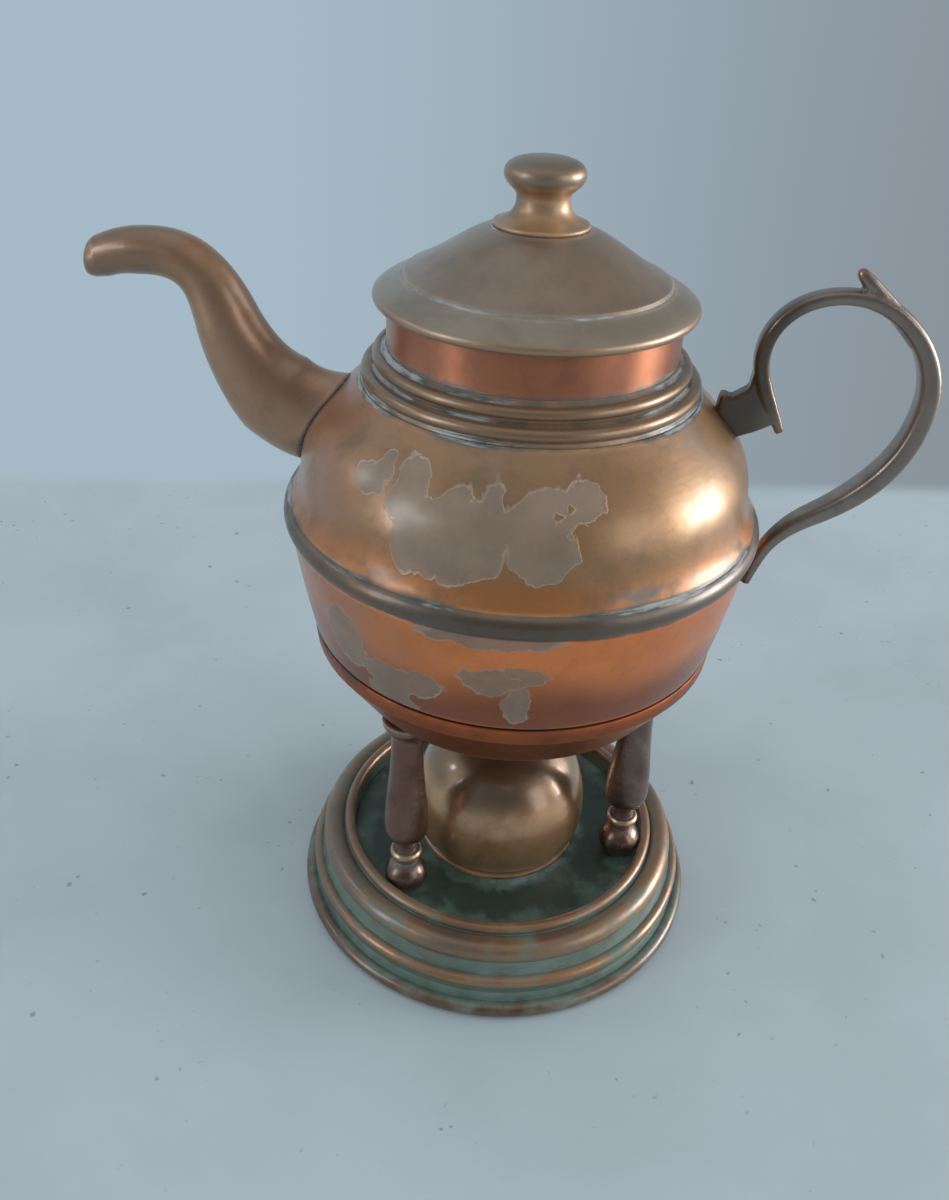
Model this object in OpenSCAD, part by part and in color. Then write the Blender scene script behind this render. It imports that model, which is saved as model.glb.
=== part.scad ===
// Spirit kettle on its stand, in millimetres, +Z up.
// Origin: the axis of the stand at table level. The spout points along -X, the handle along +X.

/* [Stand] */
// How far the lip of the base spreads beyond its top bead
base_spread = 16.6; // [15.6:0.2:21]
// Height of the top bead of the base
base_h = 27; // [26:0.5:32]
// Height of the sunken floor on which the burner stands
floor_z = 19.4; // [17:0.2:20.4]
// Wall of the spun base and of its floor
base_wall = 1; // [0.8:0.1:1.2]
// How far the legs stand inside the lip of the cradle
leg_inset = 18; // [17.4:0.1:18.4]
// Turn of the leg nearest the handle, in degrees
leg_turn = 9; // [-20:0.5:20]
// Radius of the ball foot of a leg
leg_ball_r = 7.2; // [6:0.1:7.4]
// Radius of a leg at its belly
leg_belly_r = 7.4; // [6:0.1:7.6]
// Radius of a leg at its waist
leg_waist_r = 3.7; // [3.2:0.1:4.6]
// Radius of a leg where it meets the cradle
leg_top_r = 5; // [4.6:0.1:5.6]
// Radius of the flared head of a leg under the cradle
leg_head_r = 7.8; // [6.6:0.1:8.2]
// Radius of the tenon at either end of a leg
tenon_r = 2; // [1.5:0.1:2.5]

/* [Cradle] */
// Height of the flat underside of the cradle, where the legs meet it
cradle_z = 94.5; // [93:0.5:100]
// How far the lip of the cradle lies inside the widest part of the kettle
cradle_inset = 6; // [4.8:0.1:7.2]
// Height of the cradle from its underside to its lip
cradle_h = 21.7; // [20:0.1:24]
// Width of the flat ledge that rings the opening under the kettle
cradle_ledge_w = 12; // [11:0.5:18]
// Wall of the cradle
cradle_wall = 1.2; // [0.9:0.1:1.4]
// Gap between the kettle and the wall of the cradle
cradle_gap = 0.4; // [0.3:0.05:0.6]

/* [Kettle] */
// Wall of the spun kettle
kettle_wall = 1.2; // [0.9:0.1:1.4]
// Radius of the kettle where it meets its band
waist_r = 69.3; // [68.8:0.1:69.8]
// Height of the middle of the half-round band above the underside of the cradle
band_rise = 60; // [58.5:0.5:62.5]
// Height of the band from its lower to its upper edge
band_h = 7.2; // [6:0.1:8]
// How far the band stands out from the kettle
band_proud = 1.9; // [1.3:0.1:2.7]
// Height of the flat step under the shoulder rings above the middle of the band
shoulder_rise = 39.3; // [36.8:0.5:41.3]
// Outer radius of that step
shoulder_r = 48.3; // [47.6:0.1:50]
// Outer radius of the neck
neck_r = 40.8; // [40:0.1:41.4]
// Height of the neck above the shoulder step
neck_h = 24; // [23.2:0.2:25.2]
// Height of the neck's foot above the shoulder step
neck_foot_h = 10; // [9.4:0.1:10.6]

/* [Spout] */
// Reach of the mouth of the spout from the axis
spout_reach = 124.2; // [120:0.2:128]
// Height of the top of the spout's arch, on its centre line, above the neck
spout_rise = 3.6; // [-0.8:0.2:6]
// Half height of the root of the spout on the kettle
root_half_h = 13.6; // [12:0.1:14.4]
// Half width of the root of the spout on the kettle
root_half_w = 10; // [8.5:0.1:12]
// Radius of the spout along its arch
spout_r = 7.1; // [6.4:0.1:7.8]
// Wall of the spout
spout_wall = 1.4; // [1.1:0.1:1.7]

/* [Handle] */
// Reach of the centre line of the handle from the axis
handle_reach = 109.2; // [106:0.2:114]
// Height of the top of the handle, on its centre line, above the neck
handle_rise = 5.6; // [2.2:0.2:10]
// Width of the loop of the handle, between centre lines
loop_w = 46.3; // [44:0.1:48]
// Width of the handle across the kettle
handle_w = 9; // [7.5:0.1:10.5]
// Thickness of the handle in its own plane
handle_t = 6.8; // [5.8:0.1:7.6]
// Width of the bracket between the handle and the shoulder
bracket_w = 5; // [4:0.1:8]
// Height of the tip of the thumb spur above the centre line of the crown
spur_rise = 8.2; // [5.6:0.2:10.4]

/* [Lid] */
// Radius of the rolled edge of the lid
lid_r = 44.6; // [44.2:0.1:45.4]
// Thickness of the rolled edge
lid_edge_t = 3.2; // [3:0.1:3.6]
// Radius of the ring line between the dome and the brim of the lid
lid_step_r = 35.9; // [34:0.1:37]
// Height of the seat of the knob above the top of the neck
lid_rise = 17.8; // [16.2:0.2:20]
// Wall of the lid
lid_wall = 1.1; // [0.9:0.1:1.3]
// Depth of the collar that drops into the neck
collar_depth = 12; // [8:0.5:16]
// Running gap between the collar and the neck
collar_gap = 0.3; // [0.2:0.05:0.5]
// Radius of the knob at its widest
knob_r = 10.7; // [9.5:0.1:12]
// Radius of the waist of the knob
knob_waist_r = 7.1; // [6:0.1:8]
// Radius of the foot of the knob
knob_foot_r = 13; // [12:0.1:13.4]
// Height of the knob above its seat
knob_h = 17.4; // [15:0.2:20]
// Radius of the stud under the knob
stud_r = 2; // [1.5:0.1:2.5]

/* [Burner] */
// Largest radius of the burner
burner_r = 30.6; // [28:0.1:30.8]
// Height of the shoulder of the burner above the floor
burner_h = 44.5; // [42:0.5:45]
// Wall of the burner
burner_wall = 0.9; // [0.7:0.1:1.1]
// Outer radius of the foot ring of the burner
burner_foot_r = 28.4; // [26:0.1:28.6]
// Height of the foot ring
burner_foot_h = 2.4; // [2:0.1:3]
// Bore of the neck of the burner, which takes the wick holder
burner_neck_r = 7.6; // [6.5:0.1:8]
// Running gap round the wick holder
holder_gap = 0.1; // [0.05:0.01:0.1]
// Radius of the bore of the wick tube
wick_r = 2.6; // [2:0.1:3]
// Wall of the wick tube
wick_tube_wall = 0.7; // [0.5:0.1:0.9]

/* [Hidden] */
$fn = 96;

copper = [0.72, 0.40, 0.24];
bronze = [0.52, 0.42, 0.31];
dark_bronze = [0.33, 0.26, 0.21];
brass = [0.66, 0.50, 0.30];
verdigris = [0.22, 0.36, 0.34];
cotton = [0.86, 0.82, 0.72];

// Curves, in the plane of a meridian: x is the distance from the axis and y is the height.
function arc(c, r, from, to, steps) =
    [for (i = [0 : steps]) let (a = from + (to - from) * i / steps) c + r * [cos(a), sin(a)]];
function bezier_at(p, t) = pow(1 - t, 3) * p[0] + 3 * t * pow(1 - t, 2) * p[1]
    + 3 * t * t * (1 - t) * p[2] + pow(t, 3) * p[3];
function bezier(p, steps) = [for (i = [0 : steps]) bezier_at(p, i / steps)];
// The same curve without its first point, for a path that already stands there.
function bezier_on(p, steps) = [for (i = [1 : steps]) bezier_at(p, i / steps)];
function backwards(v) = [for (i = [len(v) - 1 : -1 : 0]) v[i]];
function unit(v) = v / norm(v);
function right_of(v) = [v[1], -v[0]];
// The side step at point i of an open path, mitred so that a wall of t keeps its thickness at a bend.
function mitre(path, i, t) = let (
        n = len(path) - 1,
        a = i > 0 ? right_of(unit(path[i] - path[i - 1])) : right_of(unit(path[1] - path[0])),
        b = i < n ? right_of(unit(path[i + 1] - path[i])) : a,
        m = unit(a + b))
    t * m / max(0.4, m * a);
function beside(path, t) = [for (i = [0 : len(path) - 1]) path[i] + mitre(path, i, t)];
// A sheet of wall t whose face is the path and whose thickness lies to its right.
function sheet(path, t) = concat(path, backwards(beside(path, t)));
module spun(outline) {
    rotate_extrude($fn = 180) polygon(outline);
}

// Places that follow from these sizes, from the kettle down to the foot and up to the lid
cradle_r = waist_r - cradle_inset;
leg_place_r = cradle_r - leg_inset;
band_z = cradle_z + band_rise;
shoulder_z = band_z + shoulder_rise;
neck_top_z = shoulder_z + neck_h;
spout_top_z = neck_top_z + spout_rise;
handle_top_z = neck_top_z + handle_rise;
spur_z = handle_top_z + spur_rise;
lid_top_z = neck_top_z + lid_rise;

// Base: a bead at the crest, a broad roll, a bead, a cove and a rounded lip with a turned-in flange.
crest_bead = 1.9;
roll = 4.2;
step_bead = 2.2;
lip = 2.6;
roll_out = 5.2;
roll_down = 6;
bead_in = 5.6;
cove_in = 2.1;
cove_up = 0.4;
well_r = leg_place_r + leg_ball_r;
crest_r = well_r + crest_bead;
base_r = crest_r + base_spread;
crest_at = [crest_r, base_h - crest_bead];
roll_at = [crest_r + roll_out, base_h - roll_down];
bead_at = [base_r - bead_in, base_h * 0.46];
lip_at = [base_r - lip, lip];
ledge_w = 1.9;
flange_w = 3;
floor_t = base_wall + 0.2;
base_path = concat(
    [[well_r - ledge_w, floor_z - floor_t], [well_r, floor_z - floor_t]],
    arc(crest_at, crest_bead, 180, -35, 14),
    arc(roll_at, roll, 140, -35, 14),
    arc(bead_at, step_bead, 115, -50, 10),
    [[lip_at[0] - cove_in, (lip_at[1] + bead_at[1]) / 2 + cove_up]],
    arc(lip_at, lip, 120, -90, 14),
    [[lip_at[0] - flange_w, 0]]);
module base_skirt() {
    color(copper) spun(sheet(base_path, base_wall));
}

// Floor: a disc on the ledge of the skirt, drilled for the tenons of the legs.
module at_legs() {
    for (i = [0 : 2]) rotate([0, 0, -leg_turn - 120 * i]) translate([leg_place_r, 0, 0]) children();
}
module base_floor() {
    color(verdigris) difference() {
        translate([0, 0, floor_z - floor_t]) cylinder(r = well_r - 0.05, h = floor_t, $fn = 180);
        at_legs() translate([0, 0, floor_z - 2 * floor_t]) cylinder(r = tenon_r, h = 3 * floor_t);
    }
}

// Leg: a ball foot, a ring, a waist and a belly that draws in towards the cradle.
leg_h = cradle_z - floor_z;
head_z = leg_h - 8;
ball_c = leg_ball_r * 0.92;
ring_z = 17;
ring_bead = 1.7;
ring_out = 5.4;
waist_z = 20.6;
belly_z = 30;
nut_t = 3;
tenon_down = floor_t + nut_t + 1;
tenon_up = cradle_wall - 0.2;
foot_cut = asin(-ball_c / leg_ball_r);
foot_top = acos(leg_waist_r / leg_ball_r);
leg_outline = concat(
    [[0, -tenon_down], [tenon_r, -tenon_down], [tenon_r, 0]],
    arc([0, ball_c], leg_ball_r, foot_cut, foot_top, 14),
    [[leg_waist_r, ring_z - ring_bead]],
    arc([ring_out - ring_bead, ring_z], ring_bead, -90, 90, 8),
    [[leg_waist_r, ring_z + ring_bead]],
    bezier([[leg_waist_r, waist_z], [leg_waist_r, waist_z + 3.4], [leg_belly_r, belly_z - 6],
        [leg_belly_r, belly_z]], 8),
    bezier_on([[leg_belly_r, belly_z], [leg_belly_r, belly_z + 10], [leg_top_r, head_z - 16],
        [leg_top_r, head_z]], 8),
    bezier_on([[leg_top_r, head_z], [leg_top_r, head_z + 4], [leg_head_r, leg_h - 4],
        [leg_head_r, leg_h - 1]], 6),
    [[leg_head_r, leg_h], [tenon_r, leg_h], [tenon_r, leg_h + tenon_up], [0, leg_h + tenon_up]]);
module leg(i) {
    color(dark_bronze) rotate([0, 0, -leg_turn - 120 * i]) translate([leg_place_r, 0, floor_z])
        rotate_extrude($fn = 48) polygon(leg_outline);
}
module leg_right() {
    leg(0);
}
module leg_left() {
    leg(1);
}
module leg_rear() {
    leg(2);
}
nut_side = 1.7;
module nut(bore, height) {
    difference() {
        cylinder(r = (bore + nut_side) / cos(30), h = height, $fn = 6);
        translate([0, 0, -1]) cylinder(r = bore, h = height + 2, $fn = 48);
    }
}
module leg_nuts() {
    color(brass) at_legs() translate([0, 0, floor_z - floor_t - nut_t]) nut(tenon_r, nut_t);
}

// Cradle: a copper ring on the legs with a raised cone wall, open under the kettle.
cradle_top = cradle_z + cradle_h;
cone_low_r = cradle_r - 9.7;
cone_low_z = cradle_z + 3.5;
flat_r = cone_low_r - 4.6;
cradle_hole_r = flat_r - cradle_ledge_w;
cradle_path = concat(
    [[cradle_hole_r, cradle_z], [flat_r, cradle_z]],
    bezier_on([[flat_r, cradle_z], [flat_r + 2.2, cradle_z], [cone_low_r - 1.3, cone_low_z - 1.9],
        [cone_low_r, cone_low_z]], 6),
    [[cradle_r - 0.3, cradle_top - 4.6], [cradle_r, cradle_top - 2], [cradle_r - 0.2, cradle_top]]);
module cradle_ring() {
    color(copper) difference() {
        spun(concat(backwards(cradle_path), beside(cradle_path, -cradle_wall)));
        at_legs() translate([0, 0, cradle_z - 1]) cylinder(r = tenon_r, h = cradle_wall + 2);
    }
}

// Kettle below the band: a tapering bowl whose lower edge turns in and drops into the cradle.
seat_z = cradle_z + cradle_wall;
band_low = band_z - band_h / 2;
band_high = band_z + band_h / 2;
skirt_r = waist_r - 1.3;
sunk = cradle_wall + cradle_gap;
hem_z = cradle_top + 1.7;
hem_r = cradle_r + 0.3;
cone_lean = norm([cradle_r - 0.3 - cone_low_r, cradle_top - 4.6 - cone_low_z])
    / (cradle_top - 4.6 - cone_low_z);
sunk_top_r = cradle_r - sunk * cone_lean - 0.5;
seat_r = flat_r - 1.2;
bowl_curve = [[waist_r, band_low], [waist_r - 0.9, band_low - 9], [hem_r + 2.2, hem_z + 9.5],
    [hem_r, hem_z + 0.4]];
lower_path = concat(
    [[skirt_r, band_z], [skirt_r, band_low], [waist_r, band_low]],
    bezier_on(bowl_curve, 10),
    [[hem_r - 0.5, hem_z - 0.8], [sunk_top_r, hem_z - 1.1], [sunk_top_r - 0.3, cradle_top - 4.8],
        [cone_low_r - sunk * cone_lean, cone_low_z], [seat_r, seat_z], [seat_r - 4, seat_z]]);
module lower_body() {
    color(copper) spun(sheet(lower_path, kettle_wall));
}
module kettle_bottom() {
    color(copper) translate([0, 0, seat_z]) cylinder(r = seat_r - 4, h = kettle_wall, $fn = 180);
}
// Band: a half-round strip over the joint between the bowl and the shoulder.
band_round = (pow(band_h / 2, 2) + pow(band_proud, 2)) / (2 * band_proud);
band_half = asin(band_h / 2 / band_round);
module seam_band() {
    color(bronze) spun(concat([[skirt_r, band_low]],
        arc([waist_r + band_proud - band_round, band_z], band_round, -band_half, band_half, 14),
        [[skirt_r, band_high]]));
}

// Kettle above the band: near-upright sides that roll over into a sloping shoulder.
side_r = waist_r - 3.9;
side_z = band_high + 11.9;
side_curve = [[waist_r, band_high], [side_r + 1.1, band_high + 3.1],
    [side_r + 0.7, side_z - 4.6], [side_r, side_z]];
shoulder_curve = [[side_r, side_z], [side_r - 1.6, side_z + 10.5],
    [shoulder_r + 8.2, shoulder_z - 8.3], [shoulder_r, shoulder_z]];
upper_path = concat(
    [[skirt_r, band_z], [skirt_r, band_high], [waist_r, band_high]],
    bezier_on(side_curve, 8),
    bezier_on(shoulder_curve, 12),
    [[neck_r, shoulder_z]]);
module upper_body() {
    color(bronze) difference() {
        spun(sheet(backwards(upper_path), kettle_wall));
        translate([0, 0, root_z]) rotate([0, -90, 0]) cylinder(r = spout_hole_r, h = 2 * waist_r);
    }
}
// The outside of the kettle, grown by a hair: whatever sits on it is cut to this shape.
seat_gap = 0.04;
kettle_side = concat(backwards(bezier(bowl_curve, 10)), [[waist_r, band_high]], bezier_on(side_curve, 8),
    bezier_on(shoulder_curve, 12));
function body_r(z) = lookup(z, [for (p = kettle_side) [p[1], p[0]]]) + seat_gap;
module kettle_solid() {
    spun(concat([[0, kettle_side[0][1]]], [for (p = kettle_side) p + [seat_gap, 0]], [[0, shoulder_z]]));
}
// Rings at the foot of the neck: two beads with a groove between them.
neck_foot_z = shoulder_z + neck_foot_h;
ring_low = 1.9;
ring_high = 1.8;
module shoulder_rings() {
    color(bronze) spun(concat(
        [[neck_r, shoulder_z], [shoulder_r - 0.4, shoulder_z]],
        arc([shoulder_r - 2.3, shoulder_z + 2.6], ring_low, -50, 105, 10),
        [[shoulder_r - 4.2, shoulder_z + 4.4]],
        arc([neck_r + 2.1, shoulder_z + 6.9], ring_high, -40, 110, 10),
        [[neck_r + 0.9, neck_foot_z - 1]],
        [[neck_r, neck_foot_z]]));
}
neck_bore = neck_r - kettle_wall;
module neck() {
    color(copper) translate([0, 0, shoulder_z - kettle_wall]) difference() {
        cylinder(r = neck_r, h = neck_top_z - shoulder_z + kettle_wall, $fn = 180);
        translate([0, 0, -1]) cylinder(r = neck_bore, h = neck_top_z, $fn = 180);
    }
}
// Flange: a flat ring that holds the neck from inside the shoulder.
module neck_flange() {
    color(copper) translate([0, 0, shoulder_z - 2 * kettle_wall]) difference() {
        cylinder(r = neck_r + 3, h = kettle_wall, $fn = 180);
        translate([0, 0, -1]) cylinder(r = neck_bore, h = kettle_wall + 2, $fn = 180);
    }
}

// Surfaces lofted through rings of points. Each ring has the same number of points.
function ring_faces(rings, sides, shut) =
    [for (i = [0 : rings - (shut ? 1 : 2)], j = [0 : sides - 1]) let (
            a = i * sides,
            b = ((i + 1) % rings) * sides,
            k = (j + 1) % sides)
        each [[a + j, b + j, b + k], [a + j, b + k, a + k]]];
function flat(v) = [for (a = v) each a];
module loft(rings) {
    sides = len(rings[0]);
    last = (len(rings) - 1) * sides;
    ends = [[for (j = [0 : sides - 1]) j], [for (j = [sides - 1 : -1 : 0]) last + j]];
    polyhedron(flat(rings), concat(ring_faces(len(rings), sides, false), ends));
}
module hollow_loft(outer, inner) {
    rings = concat(outer, backwards(inner));
    polyhedron(flat(rings), ring_faces(len(rings), len(outer[0]), true));
}
// An oval ring square to a path in the XZ plane: the path runs along dir, a is its half thickness in the
// plane and b its half width across it. square above 1 flattens its sides.
function oval(at, dir, a, b, square, sides) = let (n = right_of(dir)) [for (j = [0 : sides - 1]) let (
        w = 360 * j / sides,
        u = a * sign(cos(w)) * pow(abs(cos(w)), 1 / square),
        v = b * sign(sin(w)) * pow(abs(sin(w)), 1 / square))
    [at[0] + u * n[0], v, at[1] + u * n[1]]];
function chain_at(curves, t) = let (k = min(len(curves) - 1, floor(t))) bezier_at(curves[k], t - k);
function chain_dir(curves, t) = unit(chain_at(curves, min(len(curves), t + 0.01))
    - chain_at(curves, max(0, t - 0.01)));

// Spout: a swan neck that flares into an oval root on the side of the kettle.
root_z = shoulder_z - 17.2;
root_r = side_r + 1;
spout_hole_r = 9;
bend_at = [-root_r - 21, root_z + 27.7];
arch_at = [-spout_reach + 12, spout_top_z];
mouth_at = [-spout_reach, spout_top_z - 3.6];
spout_curves = [
    [[-root_r + 6, root_z], bend_at + [13.5, -26.8], bend_at + [4, -13], bend_at],
    [bend_at, bend_at + [-4.5, 13.5], arch_at + [15, 1.5], arch_at],
    [arch_at, arch_at + [-4, -0.4], arch_at + [-7, -1], mouth_at]];
spout_sides = 24;
// Half thickness of the spout along its length, from the flare to the mouth
spout_sizes = [[0.4, root_half_h * 1.06], [0.65, root_half_h * 0.86], [1, spout_r * 1.3],
    [1.35, spout_r * 1.04], [1.8, spout_r * 0.94], [2.5, spout_r * 0.84], [2.8, spout_r * 0.8],
    [2.95, spout_r * 0.7], [3, spout_r * 0.58]];
spout_steps = concat([for (t = [0.5 : 0.1 : 2]) t], [2.2, 2.5, 2.7, 2.85, 2.95, 3]);
// Half width across the spout as a share of its half thickness
spout_slim = [[0.4, root_half_w / root_half_h], [1, 1]];
function root_ring(shrink) = [for (j = [0 : spout_sides - 1]) let (
        w = 360 * j / spout_sides,
        y = (root_half_w - shrink) * sin(w),
        z = root_z + (root_half_h - shrink) * cos(w),
        r = body_r(z))
    [-sqrt(r * r - y * y), y, z]];
function spout_ring(t, shrink) = let (s = lookup(t, spout_sizes))
    oval(chain_at(spout_curves, t), chain_dir(spout_curves, t), s - shrink,
        s * lookup(t, spout_slim) - shrink, 1, spout_sides);
// Rings that leave the root level and run into the first ring of the swan neck.
flare_t = 0.4;
flare_out = 5;
flare_steps = 5;
function spout_flare(shrink) = let (
        from = root_ring(shrink),
        to = spout_ring(flare_t, shrink),
        d = chain_dir(spout_curves, flare_t))
    [for (i = [0 : flare_steps]) [for (j = [0 : spout_sides - 1])
        bezier_at([from[j], from[j] - [flare_out, 0, 0], to[j] - flare_out * [d[0], 0, d[1]], to[j]],
            i / flare_steps)]];
function spout_skin(shrink) = concat(spout_flare(shrink), [for (t = spout_steps) spout_ring(t, shrink)]);
module spout() {
    color(bronze) hollow_loft(spout_skin(0), spout_skin(spout_wall));
}

// Handle: one casting with a bracket on the shoulder, a curled tail, a thumb spur and a foot on the bowl.
tail_at = [handle_reach, handle_top_z] - loop_w * [0.812, 0.847];
rise_at = [handle_reach, handle_top_z] - loop_w * [1, 0.376];
crown_at = [handle_reach, handle_top_z] - loop_w * [0.566, 0];
back_at = [handle_reach, handle_top_z] - loop_w * [0, 0.592];
elbow_at = [handle_reach - loop_w * 0.523, band_z + band_h / 2];
foot_at = [waist_r + band_proud, band_z - loop_w * 0.449];
handle_curves = [
    [tail_at, tail_at + loop_w * [-0.067, 0.147], rise_at - loop_w * [0, 0.173], rise_at],
    [rise_at, rise_at + loop_w * [0, 0.216], crown_at - loop_w * [0.259, 0], crown_at],
    [crown_at, crown_at + loop_w * [0.302, 0], back_at + loop_w * [0, 0.302], back_at],
    [back_at, back_at - loop_w * [0, 0.41], elbow_at + loop_w * [0.259, 0.168], elbow_at],
    [elbow_at, elbow_at - loop_w * [0.216, 0.149], foot_at + loop_w * [0.035, 0.216], foot_at]];
handle_sides = 16;
// Thickness and width along the handle, as shares of its full size
handle_shape = [[0, 0.36, 0.45], [0.5, 0.66, 0.7], [1, 0.62, 0.75], [1.5, 0.6, 0.72], [2, 0.58, 0.7],
    [2.5, 0.74, 0.85], [3, 0.88, 0.95], [3.6, 0.95, 1], [4, 0.76, 0.84], [4.4, 0.56, 0.68], [4.8, 0.5, 0.6],
    [5, 0.3, 0.4]];
function handle_ring(t) = oval(chain_at(handle_curves, t), chain_dir(handle_curves, t),
    handle_t / 2 * lookup(t, [for (s = handle_shape) [s[0], s[1]]]),
    handle_w / 2 * lookup(t, [for (s = handle_shape) [s[0], s[2]]]), 1.7, handle_sides);
// Thumb spur: the back of the handle runs on past the crown.
spur_tip = 1.2;
spur_at = [handle_reach - loop_w * 0.559, spur_z - spur_tip];
spur_curve = [[back_at + loop_w * [-0.138, 0.359], back_at + loop_w * [-0.272, 0.505],
    spur_at + loop_w * [0.108, -0.108], spur_at]];
// Half thickness of the spur along its length, as a share of the handle's
spur_sizes = [[0, 0.74], [0.5, 0.65], [0.8, 0.56], [0.95, 0.41], [1, 0.21]];
spur_slim = 1.2;
function spur_ring(t) = let (s = handle_t / 2 * lookup(t, spur_sizes))
    oval(chain_at(spur_curve, t), chain_dir(spur_curve, t), s, s * spur_slim, 1.3, handle_sides);
// Bracket: its edges follow the shoulder, the tail and the rise of the handle.
bracket_low = 11.6;
bracket_high = 5;
bracket_tip = [body_r(shoulder_z - 3.2) + 2, shoulder_z + 0.2];
bracket_outline = [
    [body_r(shoulder_z - bracket_low) - 1, shoulder_z - bracket_low - 0.8],
    [body_r(shoulder_z - bracket_high) - 0.6, shoulder_z - bracket_high - 0.2],
    bracket_tip, bracket_tip + [1.2, 0.5], bracket_tip + [3, -0.4], bracket_tip + [4.8, 0.8],
    rise_at - loop_w * [0.043, 0.203], rise_at - loop_w * [0.03, 0.086], rise_at + loop_w * [0.009, -0.065],
    rise_at + loop_w * [0.017, -0.194], tail_at + loop_w * [-0.052, 0.086],
    tail_at + loop_w * [-0.073, 0.039], tail_at - loop_w * [0.151, 0.004]];
// Pad that joins the foot to the bowl
pad_h = 4;
pad_w = 3;
pad_l = 6;
module handle() {
    color(dark_bronze) union() {
        loft([for (t = [0 : 0.1 : 5]) handle_ring(t)]);
        loft([for (t = [0 : 0.2 : 0.8]) spur_ring(t), spur_ring(0.92), spur_ring(1)]);
        difference() {
            union() {
                rotate([90, 0, 0]) linear_extrude(bracket_w, center = true) polygon(bracket_outline);
                translate([foot_at[0] - pad_l, -pad_w / 2, foot_at[1] + 0.6]) cube([pad_l, pad_w, pad_h]);
            }
            kettle_solid();
        }
    }
}

// Lid: a dome, a ring line, a brim and a rolled edge.
edge_r = lid_edge_t / 2;
edge_at = [lid_r - edge_r, neck_top_z - 0.7];
lid_path = concat(
    [[0, lid_top_z], [knob_foot_r + 0.2, lid_top_z]],
    bezier([[knob_foot_r + 0.3, lid_top_z - 0.1], [knob_foot_r + 8, lid_top_z - 2.2],
        [lid_step_r - 9.3, lid_top_z - 8.1], [lid_step_r, lid_top_z - 12.2]], 10),
    [[lid_step_r + 0.7, lid_top_z - 13.1]],
    bezier([[lid_step_r + 1, lid_top_z - 13.2], [lid_step_r + 3, lid_top_z - 14.4],
        [edge_at[0] - 1, edge_at[1] + 3], edge_at + edge_r * [cos(60), sin(60)]], 5),
    arc(edge_at, edge_r, 45, -90, 8));
module lid_cover() {
    color(bronze) difference() {
        spun(concat(lid_path, backwards(beside(lid_path, lid_wall))));
        translate([0, 0, lid_top_z - 2 * lid_wall]) cylinder(r = stud_r, h = 3 * lid_wall);
    }
}
collar_r = neck_bore - collar_gap;
collar_wall = 1;
collar_flange_t = 0.8;
module lid_collar() {
    color(copper) spun([
        [collar_r - collar_wall, neck_top_z - collar_depth], [collar_r, neck_top_z - collar_depth],
        [collar_r, neck_top_z], [neck_r + 0.1, neck_top_z], [neck_r + 0.1, neck_top_z + collar_flange_t],
        [collar_r - collar_wall, neck_top_z + collar_flange_t]]);
}
stud_down = 7;
knob_waist_z = knob_h * 0.425;
knob_wide_z = knob_h * 0.76;
module lid_knob() {
    color(bronze) translate([0, 0, lid_top_z]) spun(concat(
        [[0, -stud_down], [stud_r, -stud_down], [stud_r, 0], [knob_foot_r - 0.4, 0]],
        arc([knob_foot_r - 0.6, 0.7], 0.6, -40, 90, 4),
        bezier([[knob_foot_r - 1, 1.4], [knob_waist_r + 1, knob_h * 0.15], [knob_waist_r, knob_h * 0.26],
            [knob_waist_r, knob_waist_z]], 8),
        bezier_on([[knob_waist_r, knob_waist_z], [knob_waist_r, knob_h * 0.55], [knob_r, knob_h * 0.575],
            [knob_r, knob_wide_z]], 8),
        bezier_on([[knob_r, knob_wide_z], [knob_r, knob_h * 0.91], [knob_r - 3, knob_h], [0, knob_h]], 10)));
}
washer_t = 0.8;
washer_r = stud_r + 4;
module lid_washer() {
    color(brass) translate([0, 0, lid_top_z - lid_wall - washer_t]) difference() {
        cylinder(r = washer_r, h = washer_t, $fn = 60);
        translate([0, 0, -1]) cylinder(r = stud_r, h = washer_t + 2, $fn = 60);
    }
}
module lid_nut() {
    color(brass) translate([0, 0, lid_top_z - lid_wall - washer_t - nut_t]) nut(stud_r, nut_t);
}

// Burner: a squat spun pot on a foot ring, with a neck ring and a screwed wick holder.
foot_overlap = 0.4;
pot_z = floor_z + burner_foot_h - foot_overlap;
foot_wall = 1.4;
foot_ledge = 4.6;
pot_top = floor_z + burner_h;
pot_path = concat(
    [[0, pot_z], [burner_r - 5.6, pot_z]],
    bezier_on([[burner_r - 5.6, pot_z], [burner_r - 1.6, pot_z], [burner_r, pot_z + 4.5],
        [burner_r, pot_z + 11]], 8),
    bezier_on([[burner_r, pot_z + 11], [burner_r, pot_z + 27], [burner_r - 6, pot_top - 3.5],
        [burner_neck_r + 1.6, pot_top]], 12),
    [[burner_neck_r, pot_top]]);
module burner_reservoir() {
    color(brass) spun(concat(pot_path, backwards(beside(pot_path, -burner_wall))));
}
module burner_foot() {
    color(brass) translate([0, 0, floor_z]) spun([
        [burner_foot_r - foot_wall, 0], [burner_foot_r, 0], [burner_foot_r, burner_foot_h - 0.9],
        [burner_foot_r - foot_wall, burner_foot_h - foot_overlap],
        [burner_foot_r - foot_ledge, burner_foot_h - foot_overlap],
        [burner_foot_r - foot_ledge, burner_foot_h - foot_overlap - burner_wall]]);
}
neck_ring_t = 1.6;
neck_ring_h = 3;
module burner_neck_ring() {
    color(brass) translate([0, 0, pot_top]) difference() {
        cylinder(r = burner_neck_r + neck_ring_t, h = neck_ring_h);
        translate([0, 0, -1]) cylinder(r = burner_neck_r, h = neck_ring_h + 2);
    }
}
holder_r = burner_neck_r - holder_gap;
cap_t = 2;
cap_z = pot_top + neck_ring_h;
tube_r = wick_r + wick_tube_wall;
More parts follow.
